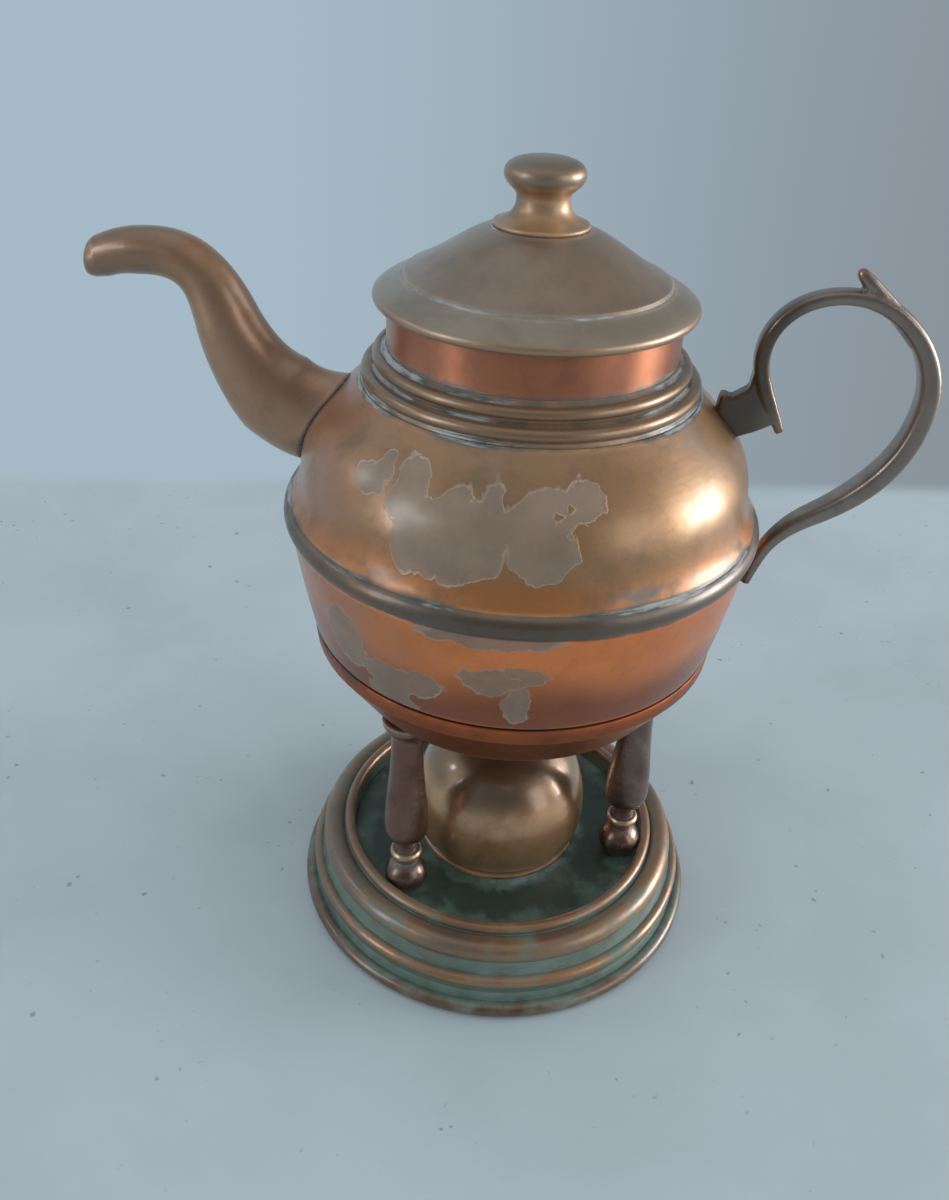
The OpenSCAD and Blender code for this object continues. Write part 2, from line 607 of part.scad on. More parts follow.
module wick_holder() {
    color(brass) difference() {
        union() {
            translate([0, 0, cap_z]) cylinder(r = burner_neck_r + neck_ring_t, h = cap_t, $fn = 60);
            translate([0, 0, pot_top - 2]) cylinder(r = holder_r, h = neck_ring_h + 2, $fn = 60);
        }
        translate([0, 0, pot_top - 3]) cylinder(r = tube_r, h = neck_ring_h + cap_t + 4, $fn = 60);
    }
}
tube_low = floor_z + 12;
tube_high = cap_z + cap_t + 1.5;
wick_low = pot_z + 2.2;
wick_out = 2;
module wick_tube() {
    color(brass) translate([0, 0, tube_low]) difference() {
        cylinder(r = tube_r, h = tube_high - tube_low, $fn = 48);
        translate([0, 0, -1]) cylinder(r = wick_r, h = tube_high, $fn = 48);
    }
}
module wick() {
    color(cotton) translate([0, 0, wick_low])
        cylinder(r = wick_r, h = tube_high + wick_out - wick_low, $fn = 48);
}

base_skirt();
base_floor();
leg_right();
leg_left();
leg_rear();
leg_nuts();
cradle_ring();
burner_foot();
burner_reservoir();
burner_neck_ring();
wick_holder();
wick_tube();
wick();
kettle_bottom();
lower_body();
seam_band();
upper_body();
shoulder_rings();
neck();
neck_flange();
spout();
handle();
lid_cover();
lid_collar();
lid_knob();
lid_washer();
lid_nut();
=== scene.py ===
"""Spirit kettle on its stand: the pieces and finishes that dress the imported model.

Lengths in the property groups are metres. The outlines are worked out in millimetres, as in the part's
source.
"""
import math
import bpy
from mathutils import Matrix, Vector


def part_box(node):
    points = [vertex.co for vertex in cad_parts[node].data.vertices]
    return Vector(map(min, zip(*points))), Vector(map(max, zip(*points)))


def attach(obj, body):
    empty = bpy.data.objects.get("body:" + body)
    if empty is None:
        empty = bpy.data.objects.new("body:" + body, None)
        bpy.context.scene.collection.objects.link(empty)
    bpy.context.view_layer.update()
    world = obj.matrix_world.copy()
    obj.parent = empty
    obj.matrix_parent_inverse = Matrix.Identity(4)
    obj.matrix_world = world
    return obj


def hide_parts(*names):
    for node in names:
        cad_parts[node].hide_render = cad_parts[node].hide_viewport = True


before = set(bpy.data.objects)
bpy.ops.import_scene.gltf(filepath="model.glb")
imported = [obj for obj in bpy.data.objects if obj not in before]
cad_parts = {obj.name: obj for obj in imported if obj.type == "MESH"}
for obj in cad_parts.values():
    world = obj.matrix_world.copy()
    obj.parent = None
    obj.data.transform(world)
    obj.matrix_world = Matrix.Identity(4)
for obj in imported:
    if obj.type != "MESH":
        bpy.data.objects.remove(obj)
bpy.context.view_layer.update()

from types import SimpleNamespace

import bmesh
import bpy
from bpy.props import FloatProperty, FloatVectorProperty, IntProperty, PointerProperty
from mathutils import Matrix, Vector

bl_info = {
    "name": "Spirit kettle on stand",
    "version": (1, 0, 0),
    "blender": (4, 5, 0),
    "location": "View3D > Sidebar > Kettle",
    "description": "Makes the pieces, finishes and studio of a spirit kettle on its stand",
    "category": "Object",
}

MM = 0.001


# Sizes and colours that a user would change

def length(name, description, metres):
    return FloatProperty(name=name, description=description, default=metres, min=0.0,
                         subtype="DISTANCE", unit="LENGTH", precision=5)


def colour(name, description, rgb):
    return FloatVectorProperty(name=name, description=description, default=rgb, size=3, min=0.0, max=1.0,
                               subtype="COLOR")


def strength(name, description, value):
    return FloatProperty(name=name, description=description, default=value, min=0.0)


def low(node):
    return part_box(node)[0]


def high(node):
    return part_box(node)[1]


class StandSizes(bpy.types.PropertyGroup):
    base_r: length("Base radius", "Outer radius of the base at the table", high("base_skirt").x)
    base_h: length("Base height", "Height of the top bead of the base", high("base_skirt").z)
    base_wall: length("Base wall", "Wall of the spun base", 0.001)
    floor_z: length("Floor height", "Height of the sunken floor", high("base_floor").z)
    leg_place_r: length("Leg place", "Distance of the legs from the axis", 0.0453)
    leg_turn: FloatProperty(name="Leg turn", description="Turn of the leg nearest the handle",
                            default=math.radians(9), subtype="ANGLE", unit="ROTATION")
    leg_ball_r: length("Leg ball", "Radius of the ball foot of a leg", 0.0072)
    leg_belly_r: length("Leg belly", "Radius of a leg at its belly", 0.0074)
    leg_waist_r: length("Leg waist", "Radius of a leg at its waist", 0.0037)
    leg_top_r: length("Leg top", "Radius of a leg below its head", 0.005)
    leg_head_r: length("Leg head", "Radius of the flared head of a leg", 0.0078)
    tenon_r: length("Tenon", "Radius of the tenon at either end of a leg", 0.002)
    cradle_z: length("Cradle height", "Height of the underside of the cradle", low("cradle_ring").z)
    cradle_r: length("Cradle radius", "Outer radius of the lip of the cradle", high("cradle_ring").x)
    cradle_top: length("Cradle lip", "Height of the lip of the cradle", high("cradle_ring").z)
    cradle_wall: length("Cradle wall", "Wall of the cradle", 0.0012)


class KettleSizes(bpy.types.PropertyGroup):
    wall: length("Wall", "Wall of the spun kettle", 0.0012)
    gap: length("Cradle gap", "Gap between the kettle and the cradle", 0.0004)
    waist_r: length("Waist radius", "Radius of the kettle where it meets the band", 0.0693)
    band_low: length("Band foot", "Height of the lower edge of the band", low("seam_band").z)
    band_high: length("Band top", "Height of the upper edge of the band", high("seam_band").z)
    band_r: length("Band radius", "Largest radius of the band", high("seam_band").x)
    shoulder_z: length("Shoulder height", "Height of the step under the rings", high("upper_body").z)
    shoulder_r: length("Shoulder radius", "Radius of the step under the rings", 0.0483)
    neck_r: length("Neck radius", "Outer radius of the neck", high("neck").x)
    neck_top_z: length("Neck top", "Height of the top edge of the neck", high("neck").z)
    neck_foot_h: length("Ring height", "Height of the rings at the foot of the neck", 0.010)


class SpoutSizes(bpy.types.PropertyGroup):
    reach: length("Reach", "Reach of the mouth from the axis", 0.1242)
    top_z: length("Arch height", "Height of the arch on its centre line", 0.2214)
    root_half_h: length("Root half height", "Half height of the root on the kettle", 0.0136)
    root_half_w: length("Root half width", "Half width of the root on the kettle", 0.010)
    tube_r: length("Tube radius", "Radius along the arch", 0.0071)
    wall: length("Wall", "Wall of the spout", 0.0014)


class HandleSizes(bpy.types.PropertyGroup):
    reach: length("Reach", "Reach of the centre line from the axis", 0.1092)
    top_z: length("Top", "Height of the top on its centre line", 0.2234)
    loop_w: length("Loop width", "Width of the loop between centre lines", 0.0463)
    width: length("Width", "Width of the handle across the kettle", 0.009)
    thickness: length("Thickness", "Thickness of the handle in its own plane", 0.0068)
    bracket_w: length("Bracket width", "Width of the bracket on the shoulder", 0.005)
    spur_z: length("Spur height", "Height of the tip of the thumb spur", 0.2316)


class LidSizes(bpy.types.PropertyGroup):
    edge_r: length("Lid radius", "Radius of the rolled edge", high("lid_cover").x)
    edge_t: length("Edge thickness", "Thickness of the rolled edge", 0.0032)
    step_r: length("Ring line radius", "Radius of the ring line between dome and brim", 0.0359)
    top_z: length("Knob seat", "Height of the seat of the knob", high("lid_cover").z)
    wall: length("Wall", "Wall of the lid", 0.0011)
    knob_r: length("Knob radius", "Radius of the knob at its widest", 0.0107)
    knob_waist_r: length("Knob waist", "Radius of the waist of the knob", 0.0071)
    knob_foot_r: length("Knob foot", "Radius of the foot of the knob", 0.013)
    knob_h: length("Knob height", "Height of the knob above its seat", 0.0174)
    collar_depth: length("Collar depth", "Depth of the collar in the neck", 0.012)


class BurnerSizes(bpy.types.PropertyGroup):
    pot_r: length("Pot radius", "Largest radius of the burner", high("burner_reservoir").x)
    pot_top: length("Pot top", "Height of the shoulder of the burner", high("burner_reservoir").z)
    wall: length("Wall", "Wall of the burner", 0.0009)
    foot_r: length("Foot radius", "Outer radius of the foot ring", high("burner_foot").x)
    foot_h: length("Foot height", "Height of the foot ring", 0.0024)
    neck_r: length("Neck bore", "Bore of the neck of the burner", 0.0076)
    wick_r: length("Wick radius", "Radius of the wick", 0.0026)
    knurls: IntProperty(name="Knurls", description="Notches round the rim of the wick holder", default=44,
                        min=8)


class FinishColours(bpy.types.PropertyGroup):
    bronze: colour("Bronze", "Lacquered bronze of the upper kettle", (0.29, 0.165, 0.082))
    gold: colour("Golden bronze", "Golden patches on the bronze", (0.31, 0.168, 0.072))
    glow: colour("Warm bronze", "Orange cast low on the upper kettle", (0.35, 0.132, 0.036))
    blush: colour("Blush", "Pink copper that shows through the bronze", (0.36, 0.175, 0.115))
    lid: colour("Lid brown", "Dull brown of the lid", (0.27, 0.175, 0.105))
    brim: colour("Lid brim", "Grey-green brown of the brim and knob", (0.26, 0.20, 0.135))
    spout: colour("Spout brown", "Red-brown of the spout", (0.42, 0.245, 0.145))
    copper: colour("Copper", "Orange copper of the bowl", (0.76, 0.225, 0.06))
    # Painted shade: copper darkened to stand for the shade on the downward-facing cradle and low on the bowl
    # near it
    copper_in_shade: colour("Deep copper", "Dark orange copper of the cradle and low on the bowl", (0.24, 0.058, 0.013))
    red_copper: colour("Red copper", "Deep red of the neck", (0.34, 0.100, 0.031))
    base: colour("Base brown", "Dark brown of the base", (0.25, 0.18, 0.125))
    cast: colour("Cast bronze", "Grey-brown of the handle and legs", (0.23, 0.185, 0.155))
    brass: colour("Brass", "Aged brass of the burner", (0.58, 0.34, 0.18))
    lacquer: colour("Flaked lacquer", "Matt grey-beige where the lacquer has flaked", (0.225, 0.165, 0.12))
    grime: colour("Grime", "Dark dirt in the grooves", (0.05, 0.048, 0.043))
    deposit: colour("Deposit", "Pale dry deposit on the grime", (0.25, 0.265, 0.26))
    verdigris: colour("Verdigris", "Teal copper rust in the valleys", (0.06, 0.105, 0.085))
    cotton: colour("Cotton", "Cotton of the wick", (0.62, 0.56, 0.44))


class StageSettings(bpy.types.PropertyGroup):
    table: colour("Table", "Pale table top", (0.34, 0.41, 0.45))
    wall_left: colour("Wall left", "Pale wall at the left", (0.38, 0.49, 0.57))
    wall_right: colour("Wall right", "Pale wall at the right", (0.25, 0.29, 0.33))
    window: strength("Window", "Brightness of the window light", 14.0)
    ceiling: strength("Ceiling", "Brightness of the overhead light", 0.35)
    halo: strength("Halo", "Brightness of the broad light round the window", 1.9)
    strip: strength("Strip", "Brightness of the tall light at the left", 9.0)
    side: strength("Side", "Brightness of the broad light at the front right", 2.2)
    glint: strength("Glints", "Brightness of the small lights at the left", 18.0)
    room: strength("Room", "Strength of the light from the room", 0.78)
    camera_lens: length("Lens", "Focal length for a 36 mm sensor", 0.0315)


GROUPS = {
    "stand_sizes": StandSizes, "kettle_sizes": KettleSizes, "spout_sizes": SpoutSizes,
    "handle_sizes": HandleSizes, "lid_sizes": LidSizes, "burner_sizes": BurnerSizes,
    "finish_colours": FinishColours, "stage_settings": StageSettings,
}


def in_mm(group):
    """The values of a property group, with its lengths in millimetres."""
    scale = {p.identifier: 1000.0 if p.unit == "LENGTH" else 1 for p in group.bl_rna.properties
             if p.identifier in group.__annotations__ and p.type in ("FLOAT", "INT")}
    return SimpleNamespace(**{k: getattr(group, k) * s for k, s in scale.items()})


def sizes(name):
    return in_mm(getattr(bpy.context.scene, name))


def colours():
    group = bpy.context.scene.finish_colours
    return SimpleNamespace(**{k: tuple(getattr(group, k)) + (1.0,) for k in group.__annotations__})


# Curves in the plane of a meridian: (distance from the axis, height), in millimetres

def arc(centre, radius, start, end, steps):
    turn = [math.radians(start + (end - start) * i / steps) for i in range(steps + 1)]
    return [(centre[0] + radius * math.cos(a), centre[1] + radius * math.sin(a)) for a in turn]


def bezier_at(p, t):
    w = ((1 - t) ** 3, 3 * t * (1 - t) ** 2, 3 * t * t * (1 - t), t ** 3)
    return tuple(sum(w[k] * p[k][i] for k in range(4)) for i in range(len(p[0])))


def bezier(p, steps=24):
    return [bezier_at(p, i / steps) for i in range(steps + 1)]


def plus(a, b):
    return tuple(x + y for x, y in zip(a, b))


def unit(v):
    n = math.hypot(*v)
    return tuple(x / n for x in v)


def beside(path, t):
    """The path moved by t to its right, mitred at its bends."""
    made = []
    for i, p in enumerate(path):
        before = unit(plus(p, (-path[i - 1][0], -path[i - 1][1]))) if i else None
        after = unit(plus(path[i + 1], (-p[0], -p[1]))) if i + 1 < len(path) else before
        before = before or after
        a, b = (before[1], -before[0]), (after[1], -after[0])
        m = unit(plus(a, b))
        k = t / max(0.4, m[0] * a[0] + m[1] * a[1])
        made.append((p[0] + k * m[0], p[1] + k * m[1]))
    return made


def apart(p, path):
    """How far a point is from a path."""
    least = math.inf
    for a, b in zip(path, path[1:]):
        run = (b[0] - a[0], b[1] - a[1])
        t = ((p[0] - a[0]) * run[0] + (p[1] - a[1]) * run[1]) / (run[0] ** 2 + run[1] ** 2)
        t = max(0.0, min(1.0, t))
        least = min(least, math.dist(p, (a[0] + t * run[0], a[1] + t * run[1])))
    return least


def sheet(path, t):
    """The closed outline of a wall of thickness t along the path, without folds in its inner bends."""
    path = tidy(path)
    return path + [p for p in beside(path, t) if apart(p, path) > 0.97 * abs(t)][::-1]


def tidy(path):
    """The path without points that stand on the one before."""
    made = [path[0]]
    for p in path[1:]:
        if math.dist(p, made[-1]) > 1e-4:
            made.append(p)
    return made


def eased(outline, radius):
    """The closed outline with its sharp corners rounded, apart from those on the axis."""
    made, n = [], len(outline)
    for i, p in enumerate(outline):
        a, b = outline[i - 1], outline[(i + 1) % n]
        la, lb = math.dist(a, p), math.dist(p, b)
        if p[0] < 0.01 or min(la, lb) < 1e-6:
            made.append(p)
            continue
        u, v = ((p[0] - a[0]) / la, (p[1] - a[1]) / la), ((b[0] - p[0]) / lb, (b[1] - p[1]) / lb)
        turn = math.acos(max(-1.0, min(1.0, u[0] * v[0] + u[1] * v[1])))
        if turn < math.radians(24):
            made.append(p)
            continue
        cut = min(radius * math.tan(min(turn, 2.6) / 2), 0.42 * la, 0.42 * lb)
        s, e = (p[0] - u[0] * cut, p[1] - u[1] * cut), (p[0] + v[0] * cut, p[1] + v[1] * cut)
        for k in range(5):
            t = k / 4
            made.append(tuple((1 - t) ** 2 * s[j] + 2 * t * (1 - t) * p[j] + t * t * e[j] for j in (0, 1)))
    return made


def dense(path, step):
    """The path with points added so that none is further than step from the next."""
    made = [path[0]]
    for a, b in zip(path, path[1:]):
        parts = max(1, math.ceil(math.dist(a, b) / step))
        made += [(a[0] + (b[0] - a[0]) * k / parts, a[1] + (b[1] - a[1]) * k / parts)
                 for k in range(1, parts + 1)]
    return made


def hollows(path, reach=1.2):
    """For each point of a closed path, how far it lies in a groove (above 0) or on an edge (below 0)."""
    ring = path[:-1] if math.dist(path[0], path[-1]) < 1e-6 else path
    n = len(ring)
    area = sum(ring[i - 1][0] * ring[i][1] - ring[i][0] * ring[i - 1][1] for i in range(n))
    side = 1.0 if area > 0 else -1.0
    made = []
    for i, p in enumerate(ring):
        ends = []
        for way in (-1, 1):
            q, left, k = p, reach, i
            while left > 1e-9:
                k = (k + way) % n
                d = math.dist(q, ring[k])
                if d >= left:
                    q = (q[0] + (ring[k][0] - q[0]) * left / d, q[1] + (ring[k][1] - q[1]) * left / d)
                    break
                q, left = ring[k], left - d
            ends.append(q)
        (ax, ay), (bx, by) = ends
        run = math.hypot(bx - ax, by - ay) or 1.0
        out = (side * (by - ay) / run, -side * (bx - ax) / run)
        made.append((out[0] * ((ax + bx) / 2 - p[0]) + out[1] * ((ay + by) / 2 - p[1])) / reach)
    return made + made[:1] if ring is not path else made


# Node trees

def add(tree, kind, inputs=None, **settings):
    """A node with its settings, its inputs linked to sockets or set to values. Returns the node."""
    node = tree.nodes.new(kind)
    for key, value in settings.items():
        setattr(node, key, value)
    for key, value in (inputs or {}).items():
        if isinstance(value, bpy.types.NodeSocket):
            tree.links.new(value, node.inputs[key])
        else:
            node.inputs[key].default_value = value
    return node


def calc(tree, operation, a, b=0.0, c=0.0, clamp=False):
    return add(tree, "ShaderNodeMath", {0: a, 1: b, 2: c}, operation=operation, use_clamp=clamp).outputs[0]


def open_tree(name, inputs):
    """A geometry tree with one geometry and these named inputs, and the node that gives them."""
    tree = bpy.data.node_groups.new(name, "GeometryNodeTree")
    tree.is_modifier = True
    tree.interface.new_socket("Outline", in_out="INPUT", socket_type="NodeSocketGeometry")
    for label, kind in inputs:
        tree.interface.new_socket(label, in_out="INPUT", socket_type="NodeSocket" + kind)
    tree.interface.new_socket("Piece", in_out="OUTPUT", socket_type="NodeSocketGeometry")
    return tree, tree.nodes.new("NodeGroupInput")


def close_tree(tree, skin, finish):
    whole = add(tree, "GeometryNodeRealizeInstances", {"Geometry": skin})
    painted = add(tree, "GeometryNodeSetMaterial", {"Geometry": whole.outputs[0], "Material": finish})
    add(tree, "NodeGroupOutput", {"Piece": painted.outputs[0]})
    return tree


def turning_tree():
    """Turns an outline about Z. Where the outline's cut is 1, flutes are cut that may twist along Z."""
    tree, given = open_tree("turned_piece", [
        ("Segments", "Int"), ("Flutes", "Int"), ("Flute depth", "Float"), ("Twist", "Float"),
        ("Crease", "Float"), ("Finish", "Material")])
    outline, segments = given.outputs["Outline"], given.outputs["Segments"]
    count = add(tree, "GeometryNodeAttributeDomainSize", {"Geometry": outline}, component="MESH")
    points = count.outputs["Point Count"]
    columns = calc(tree, "ADD", segments, 1.0)
    grid = add(tree, "GeometryNodeMeshGrid", {"Vertices X": columns, "Vertices Y": points})
    index = add(tree, "GeometryNodeInputIndex").outputs[0]
    row = calc(tree, "MODULO", index, points)
    column = calc(tree, "FLOOR", calc(tree, "DIVIDE", index, points))
    angle = calc(tree, "DIVIDE", calc(tree, "MULTIPLY", column, 2 * math.pi), segments)

    def of_outline(value, kind):
        return add(tree, "GeometryNodeSampleIndex", {"Geometry": outline, "Value": value, "Index": row},
                   data_type=kind, domain="POINT").outputs[0]

    def named(name):
        node = add(tree, "GeometryNodeInputNamedAttribute", {"Name": name}, data_type="FLOAT")
        return of_outline(node.outputs[0], "FLOAT")

    place = add(tree, "GeometryNodeInputPosition").outputs[0]
    at = add(tree, "ShaderNodeSeparateXYZ", {0: of_outline(place, "FLOAT_VECTOR")})
    radius, height = at.outputs[0], at.outputs[2]
    phase = calc(tree, "ADD", calc(tree, "MULTIPLY", angle, given.outputs["Flutes"]),
                 calc(tree, "MULTIPLY", height, given.outputs["Twist"]))
    wave = calc(tree, "MULTIPLY_ADD", calc(tree, "COSINE", phase), -0.5, 0.5)
    cut = calc(tree, "MULTIPLY", calc(tree, "MULTIPLY", wave, named("cut")), given.outputs["Flute depth"])
    r = calc(tree, "SUBTRACT", radius, cut)
    spot = add(tree, "ShaderNodeCombineXYZ", {0: calc(tree, "MULTIPLY", r, calc(tree, "COSINE", angle)),
                                             1: calc(tree, "MULTIPLY", r, calc(tree, "SINE", angle)),
                                             2: height})
    skin = add(tree, "GeometryNodeSetPosition", {"Geometry": grid.outputs[0], "Position": spot.outputs[0]})
    for name in ("grime", "edge"):
        skin = add(tree, "GeometryNodeStoreNamedAttribute",
                   {"Geometry": skin.outputs[0], "Name": name, "Value": named(name)},
                   data_type="FLOAT", domain="POINT")
    skin = add(tree, "GeometryNodeMergeByDistance", {"Geometry": skin.outputs[0], "Distance": 1e-6})
    skin = add(tree, "GeometryNodeSetShadeSmooth", {"Geometry": skin.outputs[0], "Shade Smooth": True},
               domain="FACE")
    bend = add(tree, "GeometryNodeInputMeshEdgeAngle").outputs["Unsigned Angle"]
    sharp = calc(tree, "GREATER_THAN", bend, given.outputs["Crease"])
    skin = add(tree, "GeometryNodeSetShadeSmooth",
               {"Geometry": skin.outputs[0], "Selection": sharp, "Shade Smooth": False}, domain="EDGE")
    return close_tree(tree, skin.outputs[0], given.outputs["Finish"])


def ring_tree():
    """Sets copies of a piece on a circle about Z, each turned to face out."""
    tree, given = open_tree("ring_of_copies", [
        ("Count", "Int"), ("Radius", "Float"), ("Turn", "Float"), ("Finish", "Material")])
    index = add(tree, "GeometryNodeInputIndex").outputs[0]
    step = calc(tree, "DIVIDE", 2 * math.pi, given.outputs["Count"])
    angle = calc(tree, "MULTIPLY_ADD", index, step, given.outputs["Turn"])
    spot = add(tree, "ShaderNodeCombineXYZ", {
        0: calc(tree, "MULTIPLY", given.outputs["Radius"], calc(tree, "COSINE", angle)),
        1: calc(tree, "MULTIPLY", given.outputs["Radius"], calc(tree, "SINE", angle))})
    points = add(tree, "GeometryNodePoints", {"Count": given.outputs["Count"], "Position": spot.outputs[0]})
    turned = add(tree, "ShaderNodeCombineXYZ", {2: angle})
    copies = add(tree, "GeometryNodeInstanceOnPoints", {
        "Points": points.outputs[0], "Instance": given.outputs["Outline"], "Rotation": turned.outputs[0]})
    return close_tree(tree, copies.outputs[0], given.outputs["Finish"])


TREES = {"turned_piece": turning_tree, "ring_of_copies": ring_tree}


def grow(obj, name, **values):
    """Puts a tree on obj as a modifier, with its inputs set by the identifiers of their sockets."""
    tree = bpy.data.node_groups.get(name) or TREES[name]()
    modifier = obj.modifiers.new(name, "NODES")
    modifier.node_group = tree
    sockets = {item.name: item.identifier for item in tree.interface.items_tree if item.in_out == "INPUT"}
    for label, value in values.items():
        modifier[sockets[label.replace("_", " ")]] = value


def settle(obj):
    """Turns obj and its modifiers into one plain mesh whose faces point outwards."""
    depsgraph = bpy.context.evaluated_depsgraph_get()
    mesh = bpy.data.meshes.new_from_object(obj.evaluated_get(depsgraph), preserve_all_data_layers=True,
                                           depsgraph=depsgraph)
    obj.modifiers.clear()
    old, obj.data = obj.data, mesh
    bpy.data.meshes.remove(old)
    mesh.name = obj.name
    work = bmesh.new()
    work.from_mesh(mesh)
    bmesh.ops.recalc_face_normals(work, faces=work.faces)
    if work.calc_volume(signed=True) < 0:
        bmesh.ops.reverse_faces(work, faces=work.faces)
    work.to_mesh(mesh)
    work.free()
    return obj


def new_object(name, verts, faces=(), edges=()):
    mesh = bpy.data.meshes.new(name)
    mesh.from_pydata([Vector(v) * MM for v in verts], edges, faces)
    obj = bpy.data.objects.new(name, mesh)
    bpy.context.scene.collection.objects.link(obj)
    return obj


def give(mesh, name, values):
    layer = mesh.attributes.get(name) or mesh.attributes.new(name, "FLOAT", "POINT")
    layer.data.foreach_set("value", values)


def dress(obj, body, slot, *nodes):
    """Hands a finished piece to its body and hides the nodes that it stands for. slot, its material slot, is
    not used.
    """
    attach(obj, body)
    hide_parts(*nodes)


def clamp(x):
    return max(0.0, min(1.0, x))


def turned(name, outline, finish, segments=256, step=0.8, ease=0.25, dirt=(), cut=None, flutes=0,
           depth=0.0, twist=0.0, copies=None):
    """A turned piece from its closed outline. dirt holds (radius, height, reach, strength) rings of grime."""
    outline = eased(tidy(outline), ease)
    on_axis = outline[0][0] < 0.01 and outline[-1][0] < 0.01
    path = tidy(dense(outline if on_axis else outline + outline[:1], step))
    bends = hollows(path)
    grime = []
    for p, bend in zip(path, bends):
        rings = [s * math.exp(-(math.dist(p, (r, z)) / reach) ** 2) for r, z, reach, s in dirt]
        grime.append(clamp(max([bend / 0.36] + rings)))
    obj = new_object(name, [(r, 0.0, z) for r, z in path], edges=[(i, i + 1) for i in range(len(path) - 1)])
    give(obj.data, "grime", grime)
    give(obj.data, "edge", [clamp(-bend / 0.42) for bend in bends])
    give(obj.data, "cut", [cut(p) if cut else 0.0 for p in path])
    grow(obj, "turned_piece", Segments=segments, Flutes=flutes, Flute_depth=depth * MM, Twist=twist,
         Crease=math.radians(50), Finish=finish)
    if copies:
        grow(obj, "ring_of_copies", Finish=finish, **copies)
    return settle(obj)


def lofted(name, rings, finish, shut):
    """A skin over rings of points. shut joins the last ring to the first. Otherwise the ends are capped."""
    sides, n = len(rings[0]), len(rings)
    faces = []
    for i in range(n if shut else n - 1):
        a, b = i * sides, (i + 1) % n * sides
        faces += [(a + j, b + j, b + (j + 1) % sides, a + (j + 1) % sides) for j in range(sides)]
    if not shut:
        faces += [tuple(range(sides)), tuple(range((n - 1) * sides, n * sides))[::-1]]
    obj = new_object(name, [p for ring in rings for p in ring], faces)
    obj.data.materials.append(finish)
    return obj


def read_bends(obj, reach, passes=4):
    """Writes grime in the dips and edge on the crests of a mesh, read from how its surface bends."""
    mesh = obj.data
    bends = [0.0] * len(mesh.vertices)
    count = [0] * len(mesh.vertices)
    for e in mesh.edges:
        p, q = e.vertices
        for a, b in ((p, q), (q, p)):
            d = mesh.vertices[b].co - mesh.vertices[a].co
            bends[a] += mesh.vertices[a].normal.dot(d) / max(d.length_squared, 1e-12)
            count[a] += 1
    bends = [b / max(1, c) * reach * MM for b, c in zip(bends, count)]
    for _ in range(passes):
        total = list(bends)
        for e in mesh.edges:
            a, b = e.vertices
            total[a] += bends[b]
            total[b] += bends[a]
        bends = [t / (1 + c) for t, c in zip(total, count)]
    give(mesh, "grime", [clamp(b) for b in bends])
    give(mesh, "edge", [clamp(-b) for b in bends])


# Finishes

PALE_RIM = (0.38, 0.30, 0.22, 1.0)
CHAR = (0.018, 0.015, 0.013, 1.0)
BROWN_DIRT = (0.045, 0.026, 0.018, 1.0)

# Ovals of flaked lacquer and the holes in them, as flaked() reads them
UPPER_SPOTS = [(-12.4, 175.6, 7.5, 11.5), (-4, 177, 5, 10.5), (-8, 172, 8, 7), (2, 176, 6, 6.5),
               (8, 174, 8.2, 9), (-19, 169, 5, 5), (10, 182, 8.6, 5.8), (17.5, 184.6, 5.8, 4.2),
               (-26, 182, 5, 7), (-23.5, 171, 3.2, 8), (-20, 177, 4, 6), (-38.8, 182, 6, 3.2),
               (-35.5, 184, 3, 4)]
UPPER_HOLES = [(-8.4, 186.4, 1.3, 2.2), (-0.6, 185.4, 1.4, 3.4), (0.4, 166.5, 0.7, 5.5),
               (10.7, 181.7, 1.2, 0.9), (14.3, 183.8, 1.1, 1.4), (18.6, 178.4, 4.4, 1.6)]
LOWER_SPOTS = [(-3, 149.6, 16, 2.8), (-40, 134, 6.4, 10), (-24, 128, 12, 5.6), (-27, 121, 8, 5),
               (-1, 136, 8.6, 4.6), (5, 137.5, 6, 3.6), (5.5, 126, 3.4, 6.5)]
LOWER_HOLES = [(-20, 122, 2.2, 2.6), (3.6, 136.6, 0.8, 0.5)]


def cleared(owner):
    """The emptied node tree of a new material or world."""
    owner.use_nodes = True
    owner.node_tree.nodes.clear()
    return owner.node_tree


def noise(tree, place, scale, detail=4.0, rough=0.55, warp=0.0):
    node = add(tree, "ShaderNodeTexNoise", {"Vector": place, "Scale": scale, "Detail": detail,
                                            "Roughness": rough, "Distortion": warp})
    return node.outputs[0]


def ramp(tree, value, start, end, to_start=0.0, to_end=1.0):
    return add(tree, "ShaderNodeMapRange", {"Value": value, "From Min": start, "From Max": end,
                                            "To Min": to_start, "To Max": to_end},
               interpolation_type="SMOOTHSTEP").outputs[0]


def blend(tree, share, a, b):
    node = tree.nodes.new("ShaderNodeMix")
    node.data_type = "RGBA"
    for key, value in ((0, share), (6, a), (7, b)):
        if isinstance(value, bpy.types.NodeSocket):
            tree.links.new(value, node.inputs[key])
        else:
            node.inputs[key].default_value = value
    return node.outputs[2]


def shade(rgb, k):
    return tuple(c * k for c in rgb[:3]) + (1.0,)


def read(tree, name):
    return add(tree, "ShaderNodeAttribute", attribute_name=name).outputs["Fac"]


def stretched(tree, place, scale, turn=(0.0, 0.0, 0.0)):
    return add(tree, "ShaderNodeMapping", {"Vector": place, "Scale": scale, "Rotation": turn}).outputs[0]


def times(tree, *factors):
    """The product of two or more values."""
    product = factors[0]
    for factor in factors[1:]:
        product = calc(tree, "MULTIPLY", product, factor)
    return product


def swayed(tree, value, by, reach):
    """The value, moved up and down by a noise whose middle is 0.5."""
    return calc(tree, "MULTIPLY_ADD", calc(tree, "SUBTRACT", by, 0.5), reach, value)


def coordinate(tree, place, axis):
    return add(tree, "ShaderNodeSeparateXYZ", {0: place}).outputs[axis]


def vectors(tree, operation, a, b=(0.0, 0.0, 0.0), output="Vector"):
    return add(tree, "ShaderNodeVectorMath", {0: a, 1: b}, operation=operation).outputs[output]


